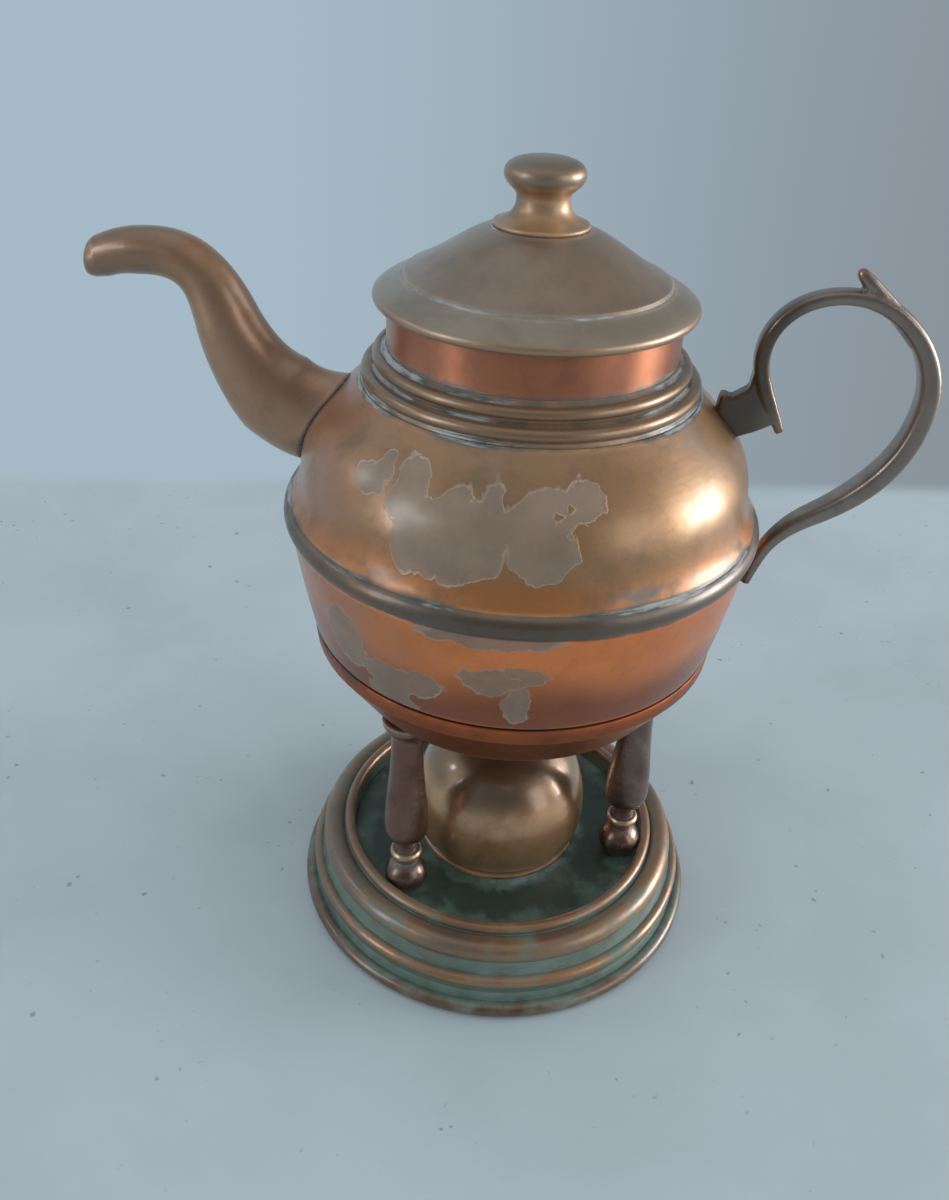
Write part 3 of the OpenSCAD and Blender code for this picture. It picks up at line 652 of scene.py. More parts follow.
def unrolled(tree, place):
    """The surface about Z laid flat: degrees from the front, and height in mm, with a wander that frays
    the outlines drawn on it."""
    across, deep, high_up = (coordinate(tree, place, axis) for axis in range(3))
    turn = times(tree, calc(tree, "ARCTAN2", across, times(tree, deep, -1.0)), 180 / math.pi)
    flat = add(tree, "ShaderNodeCombineXYZ", {0: turn, 1: times(tree, high_up, 1000.0)}).outputs[0]
    for scale, reach in ((75.0, 9.0), (330.0, 3.0)):
        wander = add(tree, "ShaderNodeTexNoise", {"Vector": place, "Scale": scale, "Detail": 3.0})
        shift = vectors(tree, "SUBTRACT", wander.outputs["Color"], (0.5, 0.5, 0.5))
        flat = vectors(tree, "ADD", flat, vectors(tree, "MULTIPLY", shift, (reach, reach, 0.0)))
    return flat


def nearest(tree, flat, ovals):
    """How far the nearest oval's rim is, in mm, below 0 inside it."""
    least = None
    for degrees, height, half_w, half_h in ovals:
        off = vectors(tree, "SUBTRACT", flat, (degrees, height, 0.0))
        share = vectors(tree, "DIVIDE", off, (half_w, half_h, 1.0))
        far = calc(tree, "SUBTRACT", vectors(tree, "LENGTH", share, output="Value"), 1.0)
        far = times(tree, far, min(half_w, half_h))
        least = far if least is None else calc(tree, "MINIMUM", least, far)
    return least


def flaked(tree, place, spots, holes):
    """Share of flaked lacquer, and of its pale rim. Spots, and holes in them, are ovals given as degrees from
    the front, height in mm, half width in degrees and half height in mm."""
    flat = unrolled(tree, place)
    depth = calc(tree, "MAXIMUM", nearest(tree, flat, spots), times(tree, nearest(tree, flat, holes), -1.0))
    return ramp(tree, depth, 0.12, -0.12), ramp(tree, calc(tree, "ABSOLUTE", depth), 0.38, 0.05)


def noises(tree, place):
    """The noises that the layers of a metal share, from broad clouds to fine grain."""
    return SimpleNamespace(
        clouds=noise(tree, place, 16.0, 3.0, 0.5, 0.6),
        mottle=noise(tree, place, 95.0, 6.0, 0.6, 0.2),
        grain=noise(tree, place, 620.0, 5.0, 0.6),
        streaks=noise(tree, stretched(tree, place, (150.0, 150.0, 1300.0)), 1.0, 5.0, 0.62),
        spread=ramp(tree, noise(tree, place, 31.0, 2.0, 0.5), 0.40, 0.60))


def clean_tone(tree, place, n, first, second, third, side, zone):
    """The metal's tones: clouds of two or three, one at the side of the spout, and one within a zone, which
    in some finishes is painted shade.
    """
    body = blend(tree, ramp(tree, n.clouds, 0.38, 0.64), first, second)
    if third:
        far = noise(tree, stretched(tree, place, (1.0, 1.0, 0.7), (0.4, 0.2, 0.9)), 27.0, 4.0, 0.55, 1.0)
        body = blend(tree, ramp(tree, far, 0.53, 0.72, 0.0, 0.8), body, third)
    if side:
        tone, most = side
        across = swayed(tree, coordinate(tree, place, 0), n.mottle, 0.06)
        body = blend(tree, ramp(tree, across, -0.010, -0.062, 0.0, most), body, tone)
    if zone:
        axis, tone, start, end = zone
        along = swayed(tree, coordinate(tree, place, axis), n.clouds, 2.0 * abs(end - start))
        body = blend(tree, ramp(tree, along, start, end), body, tone)
    return body


def tarnished(tree, n, body, tone, tarnish):
    """The tone with dark tarnish and darker grains."""
    body = blend(tree, times(tree, ramp(tree, n.mottle, 0.42, 0.72), tarnish), body, shade(tone, 0.42))
    return blend(tree, times(tree, ramp(tree, n.grain, 0.56, 0.78), 0.22), body, shade(tone, 0.35))


def worn_share(tree, n, wear):
    """Share of bright metal on the edges."""
    rubbed = times(tree, read(tree, "edge"), calc(tree, "ADD", n.mottle, 0.55))
    return times(tree, ramp(tree, rubbed, 0.25, 0.85), wear)


def rust_share(tree, n, groove, most):
    """Share of copper rust, in blotches that grow together in the grooves."""
    spotted = calc(tree, "MULTIPLY_ADD", n.clouds, 0.8, times(tree, n.mottle, 1.2))
    spotted = calc(tree, "MULTIPLY_ADD", groove, 0.55, spotted)
    return times(tree, ramp(tree, spotted, 0.95, 1.36), most)


def dirt_share(tree, n, groove, most):
    """Share of dirt, which lies unevenly in the grooves."""
    uneven = swayed(tree, swayed(tree, groove, n.mottle, 1.4), n.spread, 0.5)
    return times(tree, ramp(tree, uneven, 0.25, 1.05), most, ramp(tree, groove, 0.05, 0.45))


def crust_share(tree, n, groove, most):
    """Share of dry deposits, which run along the grooves in streaks."""
    settled = swayed(tree, swayed(tree, groove, n.streaks, 2.6), n.spread, 0.9)
    crust = calc(tree, "MULTIPLY", ramp(tree, settled, 0.85, 1.6), most, clamp=True)
    return times(tree, crust, ramp(tree, groove, 0.3, 0.8))


def metal(name, first, second, third=None, side=None, zone=None, tarnish=0.25, wear=0.5, edge_tone=None,
          rust=None, grime=1.0, dirt_tone=None, deposit=0.5, spots=None, holes=(), bare_tone=None, rings=0.0,
          bump=0.25, rough=(0.34, 0.5), dull=0.1, brushed=0.0, gleam=1.5, coat=(0.5, 0.16)):
    """An aged metal: clouds of two or three tones, tarnish, grime with dry deposits in the grooves, bright
    edges, fine turning lines, and where spots are given, flaked lacquer. side is (tone, most). zone is (axis,
    tone, where it starts, where it is full), in metres."""
    c = colours()
    material = bpy.data.materials.new(name)
    tree = cleared(material)
    place = add(tree, "ShaderNodeTexCoord").outputs["Object"]
    n = noises(tree, place)
    groove = read(tree, "grime")
    body = clean_tone(tree, place, n, first, second, third, side, zone)
    body = tarnished(tree, n, body, first, tarnish)
    body = blend(tree, worn_share(tree, n, wear), body, edge_tone or shade(second, 1.2))
    if rust:
        dirt = rust_share(tree, n, groove, grime)
        dirt_tone = blend(tree, ramp(tree, n.mottle, 0.35, 0.65), shade(rust, 0.65), shade(rust, 1.2))
    else:
        dirt, dirt_tone = dirt_share(tree, n, groove, grime), dirt_tone or c.grime
    body = blend(tree, dirt, body, dirt_tone)
    crust = crust_share(tree, n, groove, deposit)
    body = blend(tree, crust, body, c.deposit)
    matt = calc(tree, "MAXIMUM", calc(tree, "MAXIMUM", dirt, times(tree, groove, 0.5)), crust)
    height = calc(tree, "MULTIPLY_ADD", crust, 0.8, times(tree, n.grain, 0.3))
    height = calc(tree, "MULTIPLY_ADD", n.clouds, 2.0, calc(tree, "MULTIPLY_ADD", n.mottle, 0.7, height))
    if rings:
        lines = noise(tree, stretched(tree, place, (6.0, 6.0, 1500.0)), 1.0, 3.0, 0.6)
        height = calc(tree, "MULTIPLY_ADD", lines, rings, height)
    if spots:
        bare, rim = flaked(tree, place, spots, holes)
        bare_tone = bare_tone or c.lacquer
        skin = blend(tree, ramp(tree, n.mottle, 0.35, 0.7), bare_tone, shade(bare_tone, 0.8))
        body = blend(tree, times(tree, bare, 0.85), body, skin)
        body = blend(tree, times(tree, rim, 0.5), body, PALE_RIM)
        height = calc(tree, "MULTIPLY_ADD", rim, 1.0, calc(tree, "MULTIPLY_ADD", bare, -1.0, height))
        matt = calc(tree, "MAXIMUM", matt, times(tree, bare, 0.45))
    relief = add(tree, "ShaderNodeBump", {"Strength": bump, "Distance": 0.0006, "Height": height})
    gloss = calc(tree, "MULTIPLY_ADD", n.grain, 0.35, times(tree, n.mottle, 0.65))
    gloss = ramp(tree, gloss, 0.3, 0.7, *rough)
    metallic = calc(tree, "MULTIPLY_ADD", matt, -0.9, 1.0 - dull, clamp=True)
    roughness = calc(tree, "MULTIPLY_ADD", matt, 0.32, gloss, clamp=True)
    surface = add(tree, "ShaderNodeBsdfPrincipled", {
        "Base Color": body, "Metallic": metallic, "Roughness": roughness, "Normal": relief.outputs[0],
        "IOR": gleam, "Coat Weight": coat[0], "Coat Roughness": coat[1], "Anisotropic": brushed,
        "Anisotropic Rotation": 0.25})
    add(tree, "ShaderNodeOutputMaterial", {"Surface": surface.outputs[0]})
    return material


def cotton(name):
    """Cotton strands, charred towards the tip of the wick."""
    c = colours()
    material = bpy.data.materials.new(name)
    tree = cleared(material)
    place = add(tree, "ShaderNodeTexCoord").outputs["Object"]
    fibre = noise(tree, stretched(tree, place, (1800.0, 1800.0, 260.0), (0.0, 0.5, 0.0)), 1.0, 4.0, 0.6)
    tip = high("wick").z
    up = calc(tree, "MULTIPLY_ADD", fibre, 0.0016, coordinate(tree, place, 2))
    body = blend(tree, ramp(tree, fibre, 0.3, 0.7), shade(c.cotton, 0.6), c.cotton)
    body = blend(tree, ramp(tree, up, tip - 0.0028, tip - 0.0002), body, CHAR)
    relief = add(tree, "ShaderNodeBump", {"Strength": 0.7, "Distance": 0.0004, "Height": fibre})
    surface = add(tree, "ShaderNodeBsdfPrincipled", {
        "Base Color": body, "Roughness": 0.92, "Normal": relief.outputs[0], "Specular IOR Level": 0.2})
    add(tree, "ShaderNodeOutputMaterial", {"Surface": surface.outputs[0]})
    return material


def recipes(c):
    """What each metal finish is made of, by its name."""
    return {
        "bronze_body": dict(
            first=c.bronze, second=c.gold, third=c.lid, side=(c.blush, 0.6),
            zone=(2, c.glow, 0.172, 0.160), tarnish=0.45, deposit=0.9, spots=UPPER_SPOTS, holes=UPPER_HOLES,
            rings=0.25, rough=(0.36, 0.50), dull=0.3, coat=(0.75, 0.26)),
        "bronze_lid": dict(
            first=c.lid, second=shade(c.lid, 0.85), zone=(2, c.brim, 0.2242, 0.2228), tarnish=0.4,
            edge_tone=shade(c.gold, 1.1), grime=0.6, deposit=0.9, rings=0.3, rough=(0.40, 0.54), dull=0.3,
            gleam=2.1, coat=(1.0, 0.30)),
        "bronze_knob": dict(
            first=shade(c.brim, 1.2), second=shade(c.bronze, 1.3),
            zone=(2, shade(c.brim, 0.75), 0.2465, 0.2485), tarnish=0.6, grime=0.5, deposit=1.0,
            rough=(0.38, 0.54), dull=0.35, coat=(0.7, 0.28)),
        "bronze_spout": dict(
            first=c.spout, second=shade(c.spout, 0.8), third=shade(c.gold, 1.1),
            zone=(0, shade(c.spout, 0.6), -0.085, -0.105), tarnish=0.4, rough=(0.36, 0.48), dull=0.25,
            coat=(0.8, 0.24)),
        "bronze_band": dict(
            first=shade(c.base, 0.42), second=shade(c.cast, 0.5), third=shade(c.bronze, 0.6), tarnish=0.5,
            edge_tone=c.bronze, deposit=1.0, dull=0.3, coat=(0.5, 0.24)),
        "bronze_rings": dict(
            first=c.bronze, second=shade(c.lid, 0.8), tarnish=0.5, deposit=1.1, dull=0.25, coat=(0.7, 0.26)),
        # The zone is painted shade: the bowl turns darker towards the cradle
        "copper_bowl": dict(
            first=c.copper, second=shade(c.copper, 0.8), third=shade(c.gold, 1.4), side=(c.blush, 0.7),
            zone=(2, c.copper_in_shade, 0.140, 0.124), tarnish=0.3, dirt_tone=BROWN_DIRT, deposit=0.2,
            spots=LOWER_SPOTS, holes=LOWER_HOLES, bare_tone=shade(c.lacquer, 0.95), rings=0.25,
            rough=(0.34, 0.46), dull=0.2, coat=(0.6, 0.18)),
        "copper_neck": dict(
            first=c.red_copper, second=shade(c.red_copper, 1.25), tarnish=0.4, deposit=0.8, bump=0.12,
            rough=(0.38, 0.46), dull=0.3, brushed=0.85, gleam=2.0, coat=(0.8, 0.38)),
        # The cradle's colours are painted shade: its copper is darkened for the shade it sits in under the
        # kettle
        "copper_cradle": dict(
            first=c.copper_in_shade, second=shade(c.copper_in_shade, 1.3), tarnish=0.4, dirt_tone=BROWN_DIRT, deposit=0.2,
            rings=0.2, dull=0.15, coat=(0.25, 0.2)),
        "copper_base": dict(
            first=shade(c.base, 0.7), second=c.bronze, third=shade(c.blush, 0.6),
            zone=(2, shade(c.base, 0.3), 0.0085, 0.0045), tarnish=0.6, wear=0.35,
            edge_tone=shade(c.glow, 0.9), rust=c.verdigris, grime=0.95, deposit=0.15, bump=0.4,
            rough=(0.38, 0.54), dull=0.3, coat=(1.0, 0.26)),
        "green_floor": dict(
            first=shade(c.verdigris, 0.5), second=shade(c.verdigris, 0.65), rust=shade(c.verdigris, 0.9),
            rough=(0.42, 0.6), dull=0.6, coat=(0.3, 0.3)),
        # The zone is painted shade: the handle grows darker towards the kettle, most at the bracket
        "cast_handle": dict(
            first=shade(c.cast, 0.95), second=shade(c.cast, 1.25), zone=(0, shade(c.base, 0.4), 0.080, 0.064),
            tarnish=0.4, wear=0.6, edge_tone=shade(c.copper, 0.5), deposit=0.2, bump=0.3,
            rough=(0.32, 0.44), coat=(0.6, 0.18)),
        # The pale worn edges are partly real wear and partly a painted highlight on the crests of the legs
        "cast_legs": dict(
            first=shade(c.blush, 0.5), second=shade(c.cast, 0.7), third=shade(c.base, 1.3), tarnish=0.7,
            wear=1.0, edge_tone=shade(c.lid, 1.8), deposit=0.6, bump=1.0, rough=(0.24, 0.40), dull=0.05,
            coat=(0.5, 0.16)),
        # The zone is painted shade and painted reflection: above about 50 mm the brass is darkened, standing
        # in for the kettle's shade and its dark underside mirrored on the top of the burner
        "aged_brass": dict(
            first=c.brass, second=shade(c.brass, 0.8), third=shade(c.gold, 1.1),
            zone=(2, shade(c.lid, 0.85), 0.0460, 0.0530), tarnish=0.45, dirt_tone=BROWN_DIRT, rings=0.2,
            rough=(0.28, 0.42), dull=0.15, coat=(0.9, 0.14)),
    }


def finish(name):
    """The named finish, made when it is first asked for."""
    made = bpy.data.materials.get(name)
    if made:
        return made
    if name == "cotton_wick":
        return cotton(name)
    return metal(name, **recipes(colours())[name])


# Lengths that pieces share, in millimetres: an inset is taken off a radius, a drop off a height

TENON_H = 5.2
LEG_NUT_H = 3
CONE_FOOT_INSET, CONE_FOOT_RISE = 9.7, 3.5
CONE_TOP_INSET, CONE_TOP_DROP = 0.3, 4.6
CONE_BEND = 4.6
SIDE_INSET = 3.9
SPOUT_ROOT_DROP = 17.2
STUD_R = 2
LID_WASHER_H, LID_NUT_H = 0.8, 3
POT_OVERLAP = 0.4
BURNER_NECK_WALL, BURNER_NECK_H = 1.6, 3
HOLDER_RIM_H = 2


# Operators, one for each piece or group of like pieces

class PieceOperator(bpy.types.Operator):
    bl_options = {"REGISTER", "UNDO"}


class KETTLE_OT_base(PieceOperator):
    """Make the spun base with its beads, and the sunken floor"""
    bl_idname = "kettle.base"
    bl_label = "Base"

    def execute(self, context):
        s = sizes("stand_sizes")
        bead, roll, step, lip = 1.9, 4.2, 2.2, 2.6
        well_r = s.leg_place_r + s.leg_ball_r
        crest = (well_r + bead, s.base_h - bead)
        roll_at = (crest[0] + 5.2, s.base_h - 6)
        step_at = (s.base_r - 5.6, s.base_h * 0.46)
        lip_at = (s.base_r - lip, lip)
        floor_t = s.base_wall + 0.2
        ledge_z = s.floor_z - floor_t
        path = ([(well_r - 1.9, ledge_z), (well_r, ledge_z)] + arc(crest, bead, 180, -35, 22)
                + arc(roll_at, roll, 140, -35, 24) + arc(step_at, step, 115, -50, 18)
                + [(lip_at[0] - 2.1, (lip_at[1] + step_at[1]) / 2 + 0.4)] + arc(lip_at, lip, 120, -90, 20)
                + [(lip_at[0] - 3, 0)])
        dirt = [(well_r, s.floor_z + 1, 3.0, 1.0), (lip_at[0] - 1.4, lip_at[1] + 4.4, 2.6, 1.0),
                (step_at[0] - 1.5, step_at[1] + 3.2, 1.6, 0.8), (crest[0] + 2.2, crest[1] - 1.0, 1.2, 0.7),
                (roll_at[0] + 4.4, roll_at[1] - 3.5, 1.5, 0.8)]
        skirt = turned("base_skirt_spun", sheet(path, s.base_wall), finish("copper_base"), 300, 0.8, 0.3,
                       dirt)
        dress(skirt, "stand", "copper", "base_skirt")
        rim = well_r - 0.05
        outline = [(0, ledge_z), (rim, ledge_z), (rim, s.floor_z), (0, s.floor_z)]
        floor = turned("base_floor_disc", outline, finish("green_floor"), 256, 1.2, 0.2,
                       [(well_r, s.floor_z, 6, 1.0), (29, s.floor_z, 3.0, 0.9)])
        dress(floor, "stand", "verdigris", "base_floor")
        return {"FINISHED"}


def leg_outline(s):
    """A leg from its lower tenon to its upper one, which ends just below the top of the cradle's wall."""
    leg_h = s.cradle_z - s.floor_z
    head_z, ball_c = leg_h - 8, s.leg_ball_r * 0.92
    ring_z, bead, ring_out, waist_z, belly_z = 17, 1.7, 5.4, 20.6, 30
    foot_cut = math.degrees(math.asin(-ball_c / s.leg_ball_r))
    foot_top = math.degrees(math.acos(s.leg_waist_r / s.leg_ball_r))
    waist, belly, top, head = s.leg_waist_r, s.leg_belly_r, s.leg_top_r, s.leg_head_r
    rise = leg_h + s.cradle_wall - 0.2
    outline = ([(0, -TENON_H), (s.tenon_r, -TENON_H), (s.tenon_r, 0)]
               + arc((0, ball_c), s.leg_ball_r, foot_cut, foot_top, 26)
               + [(waist, ring_z - bead)] + arc((ring_out - bead, ring_z), bead, -90, 90, 14)
               + [(waist, ring_z + bead)]
               + bezier([(waist, waist_z), (waist, waist_z + 3.4), (belly, belly_z - 6), (belly, belly_z)],
                        14)
               + bezier([(belly, belly_z), (belly, belly_z + 10), (top, head_z - 16), (top, head_z)], 20)
               + bezier([(top, head_z), (top, head_z + 4), (head, leg_h - 4), (head, leg_h - 1)], 12)
               + [(head, leg_h), (s.tenon_r, leg_h), (s.tenon_r, rise), (0, rise)])
    return [(r, z + s.floor_z) for r, z in outline]


class KETTLE_OT_legs(PieceOperator):
    """Make the three turned legs and the nuts that hold them"""
    bl_idname = "kettle.legs"
    bl_label = "Legs"

    def execute(self, context):
        s = sizes("stand_sizes")
        place = {"Count": 3, "Radius": s.leg_place_r * MM, "Turn": -s.leg_turn}
        dirt = [(6, s.floor_z + 0.5, 2.5, 1.0), (s.leg_waist_r, s.floor_z + 13.6, 2.2, 0.9),
                (s.leg_waist_r, s.floor_z + 19.6, 1.8, 0.8), (s.leg_head_r, s.cradle_z, 2.5, 0.9)]
        legs = turned("turned_legs", leg_outline(s), finish("cast_legs"), 72, 0.7, 0.2, dirt, copies=place)
        dress(legs, "stand", "dark_bronze", "leg_right", "leg_left", "leg_rear")
        top = s.floor_z - s.base_wall - 0.2
        nuts = hex_nut("leg_hex_nuts", s.tenon_r, top - LEG_NUT_H, LEG_NUT_H)
        grow(nuts, "ring_of_copies", Finish=finish("aged_brass"), **place)
        dress(settle(nuts), "stand", "brass", "leg_nuts")
        return {"FINISHED"}


def hex_nut(name, bore, z, height, side=1.7):
    """A chamfered six-sided nut with a round bore."""
    flat_r = bore + side
    corner_r, cut = flat_r / math.cos(math.pi / 6), 0.45
    profile = [(bore, 0), (corner_r - cut, 0), (corner_r, cut * 0.6), (corner_r, height - cut * 0.6),
               (corner_r - cut, height), (bore, height)]
    rings = []
    for k in range(72):
        a = math.tau * k / 72
        limit = flat_r / math.cos((a + math.pi / 6) % (math.pi / 3) - math.pi / 6)
        rings.append([(min(r, limit) * math.cos(a), min(r, limit) * math.sin(a), z + h) for r, h in profile])
    nut = lofted(name, rings, finish("aged_brass"), True)
    give(nut.data, "grime", [0.2] * len(nut.data.vertices))
    give(nut.data, "edge", [0.3] * len(nut.data.vertices))
    return nut


def cradle_cone(s):
    """Where the cradle's cone starts, and where it ends below the lip."""
    return ((s.cradle_r - CONE_FOOT_INSET, s.cradle_z + CONE_FOOT_RISE),
            (s.cradle_r - CONE_TOP_INSET, s.cradle_top - CONE_TOP_DROP))


class KETTLE_OT_cradle(PieceOperator):
    """Make the copper cradle that carries the kettle"""
    bl_idname = "kettle.cradle"
    bl_label = "Cradle"

    def execute(self, context):
        s = sizes("stand_sizes")
        (cone_r, cone_z), below_lip = cradle_cone(s)
        flat_r = cone_r - CONE_BEND
        path = ([(flat_r - 12, s.cradle_z), (flat_r, s.cradle_z)]
                + bezier([(flat_r, s.cradle_z), (flat_r + 2.2, s.cradle_z), (cone_r - 1.3, cone_z - 1.9),
                          (cone_r, cone_z)], 14)
                + [below_lip, (s.cradle_r, s.cradle_top - 2), (s.cradle_r - 0.2, s.cradle_top)])
        dirt = [(s.cradle_r - 1.2, s.cradle_top - 0.4, 1.6, 1.0), (cone_r - 2, s.cradle_z + 1.2, 2.2, 0.5)]
        ring = turned("cradle_spun", sheet(path, -s.cradle_wall), finish("copper_cradle"), 288, 0.8, 0.3,
                      dirt)
        dress(ring, "stand", "copper", "cradle_ring")
        return {"FINISHED"}


def band_middle(k):
    return (k.band_low + k.band_high) / 2


def hem(s):
    """Radius and height of the bowl's lower edge, just above the cradle's lip."""
    return s.cradle_r + 0.3, s.cradle_top + 1.7


def bowl_curve(k, s):
    hem_r, hem_z = hem(s)
    return [(k.waist_r, k.band_low), (k.waist_r - 0.9, k.band_low - 9), (hem_r + 2.2, hem_z + 9.5),
            (hem_r, hem_z + 0.4)]


def side_curves(k):
    side_r, side_z = k.waist_r - SIDE_INSET, k.band_high + 11.9
    return ([(k.waist_r, k.band_high), (side_r + 1.1, k.band_high + 3.1), (side_r + 0.7, side_z - 4.6),
             (side_r, side_z)],
            [(side_r, side_z), (side_r - 1.6, side_z + 10.5), (k.shoulder_r + 8.2, k.shoulder_z - 8.3),
             (k.shoulder_r, k.shoulder_z)])


def body_r(z):
    """Outer radius of the kettle at a height."""
    k, s = sizes("kettle_sizes"), sizes("stand_sizes")
    lower, upper = side_curves(k)
    side = bezier(bowl_curve(k, s), 40)[::-1] + bezier(lower, 20) + bezier(upper, 60)
    for a, b in zip(side, side[1:]):
        if a[1] <= z <= b[1]:
            return a[0] + (b[0] - a[0]) * (z - a[1]) / max(b[1] - a[1], 1e-9)
    return side[0][0] if z < side[0][1] else side[-1][0]


class KETTLE_OT_bowl(PieceOperator):
    """Make the copper bowl of the kettle, its bottom and the bronze band over the seam"""
    bl_idname = "kettle.bowl"
    bl_label = "Bowl and band"

    def execute(self, context):
        k, s = sizes("kettle_sizes"), sizes("stand_sizes")
        seat_z = s.cradle_z + s.cradle_wall
        (cone_r, cone_z), below_lip = cradle_cone(s)
        sunk = s.cradle_wall + k.gap
        run = (below_lip[0] - cone_r, below_lip[1] - cone_z)
        lean = math.hypot(*run) / run[1]
        top_r, seat_r = s.cradle_r - sunk * lean - 0.5, cone_r - CONE_BEND - 1.2
        (hem_r, hem_z), skirt_r, band_z = hem(s), k.waist_r - 1.3, band_middle(k)
        path = ([(skirt_r, band_z), (skirt_r, k.band_low), (k.waist_r, k.band_low)]
                + bezier(bowl_curve(k, s), 40)
                + [(hem_r - 0.5, hem_z - 0.8), (top_r, hem_z - 1.1), (top_r - 0.3, s.cradle_top - 4.8),
                   (cone_r - sunk * lean, cone_z), (seat_r, seat_z), (seat_r - 4, seat_z)])
        dirt = [(k.waist_r, k.band_low, 0.8, 0.8), (hem_r, hem_z, 0.6, 0.9)]
        bowl = turned("bowl_spun", sheet(path, k.wall), finish("copper_bowl"), 320, 0.8, 0.3, dirt)
        dress(bowl, "kettle", "copper", "lower_body")
        disc = [(0, seat_z), (seat_r - 4, seat_z), (seat_r - 4, seat_z + k.wall), (0, seat_z + k.wall)]
        bottom = turned("kettle_bottom_disc", disc, finish("copper_cradle"), 192, 1.5, 0.1)
        dress(bottom, "kettle", "copper", "kettle_bottom")
        half_h, proud = (k.band_high - k.band_low) / 2, k.band_r - k.waist_r
        round_r = (half_h ** 2 + proud ** 2) / (2 * proud)
        half = math.degrees(math.asin(half_h / round_r))
        outline = ([(skirt_r, k.band_low)] + arc((k.band_r - round_r, band_z), round_r, -half, half, 28)
                   + [(skirt_r, k.band_high)])
        dirt = [(k.waist_r + 0.4, k.band_high, 1.1, 1.0), (k.waist_r + 0.2, k.band_low, 0.7, 0.7)]
        band = turned("band_half_round", outline, finish("bronze_band"), 320, 0.5, 0.15, dirt)
        dress(band, "kettle", "bronze", "seam_band")
        return {"FINISHED"}


class KETTLE_OT_shoulder(PieceOperator):
    """Make the bronze upper body, the rings at its top, the copper neck and its flange"""
    bl_idname = "kettle.shoulder"
    bl_label = "Upper body and neck"

    def execute(self, context):
        k = sizes("kettle_sizes")
        skirt_r, band_z = k.waist_r - 1.3, band_middle(k)
        lower, upper = side_curves(k)
        path = ([(skirt_r, band_z), (skirt_r, k.band_high), (k.waist_r, k.band_high)] + bezier(lower, 30)
                + bezier(upper, 60) + [(k.neck_r, k.shoulder_z)])
        dirt = [(k.waist_r, k.band_high, 1.2, 1.0), (k.waist_r - 1.6, k.band_high + 3, 3.4, 0.38),
                (k.shoulder_r, k.shoulder_z - 0.3, 1.0, 1.0), (k.shoulder_r + 3, k.shoulder_z - 2, 3.0, 0.22)]
        body = turned("upper_body_spun", sheet(path[::-1], k.wall), finish("bronze_body"), 320, 0.8, 0.3,
                      dirt)
        cutter = spout_cutter(k)
        hole = body.modifiers.new("spout_hole", "BOOLEAN")
        hole.operation, hole.object, hole.solver = "DIFFERENCE", cutter, "EXACT"
        settle(body)
        bpy.data.objects.remove(cutter)
        dress(body, "kettle", "bronze", "upper_body")
        z = k.shoulder_z
        outline = ([(k.neck_r, z), (k.shoulder_r - 0.4, z)]
                   + arc((k.shoulder_r - 2.3, z + 2.6), 1.9, -50, 105, 20)
                   + [(k.shoulder_r - 4.2, z + 4.4)] + arc((k.neck_r + 2.1, z + 6.9), 1.8, -40, 110, 20)
                   + [(k.neck_r + 0.9, z + k.neck_foot_h - 1), (k.neck_r, z + k.neck_foot_h)])
        dirt = [(k.shoulder_r - 4.2, z + 4.6, 0.8, 0.9), (k.neck_r + 0.8, z + k.neck_foot_h - 0.6, 1.1, 1.0),
                (k.shoulder_r - 0.4, z + 0.3, 0.8, 1.0)]
        rings = turned("shoulder_rings_turned", outline, finish("bronze_rings"), 288, 0.35, 0.15, dirt)
        dress(rings, "kettle", "bronze", "shoulder_rings")
        bore, under = k.neck_r - k.wall, z - k.wall
        tube = [(bore, under), (k.neck_r, under), (k.neck_r, k.neck_top_z), (bore, k.neck_top_z)]
        dirt = [(k.neck_r, z + k.neck_foot_h, 1.2, 0.9), (k.neck_r, k.neck_top_z, 1.2, 0.5)]
        neck = turned("neck_tube", tube, finish("copper_neck"), 256, 0.8, 0.3, dirt)
        dress(neck, "kettle", "copper", "neck")
        low_z, flange_r = z - 2 * k.wall, k.neck_r + 3
        ring = [(bore, low_z), (flange_r, low_z), (flange_r, under), (bore, under)]
        flange = turned("neck_flange_ring", ring, finish("copper_neck"), 192, 0.8, 0.15)
        dress(flange, "kettle", "copper", "neck_flange")
        return {"FINISHED"}


def spout_cutter(k):
    """A rod that cuts the hole under the root of the spout."""
    root_z, hole_r = k.shoulder_z - SPOUT_ROOT_DROP, 9
    turns = [math.tau * (j + 0.3) / 48 for j in range(48)]
    ends = [[(x, hole_r * math.cos(a), root_z + hole_r * math.sin(a)) for a in turns]
            for x in (-2 * k.waist_r, -30)]
    rod = lofted("spout_hole_rod", ends, finish("bronze_body"), False)
    return settle(rod)


# Spout and handle: oval rings along a chain of curves in the XZ plane

def chain_at(curves, t):
    k = min(len(curves) - 1, int(t))
    return bezier_at(curves[k], t - k)


def chain_dir(curves, t):
    a, b = chain_at(curves, max(0.0, t - 0.01)), chain_at(curves, min(len(curves), t + 0.01))
    return unit((b[0] - a[0], b[1] - a[1]))


def looked_up(t, table, column=1):
    """The column's value at t in rows that rise by their first number, eased between the rows."""
    if t <= table[0][0]:
        return table[0][column]
    for a, b in zip(table, table[1:]):
        if t <= b[0]:
            return a[column] + (b[column] - a[column]) * (t - a[0]) / (b[0] - a[0])
    return table[-1][column]


def soft_lookup(t, table, column=1, reach=0.12):
    """The same, smoothed over a short reach."""
    return sum(looked_up(t + reach * k / 3, table, column) for k in range(-3, 4)) / 7


def oval(at, way, a, b, square, sides):
    n = (way[1], -way[0])
    ring = []
    for j in range(sides):
        w = math.tau * j / sides
        cw, sw = math.cos(w), math.sin(w)
        u = a * math.copysign(abs(cw) ** (1 / square), cw)
        v = b * math.copysign(abs(sw) ** (1 / square), sw)
        ring.append((at[0] + u * n[0], v, at[1] + u * n[1]))
    return ring


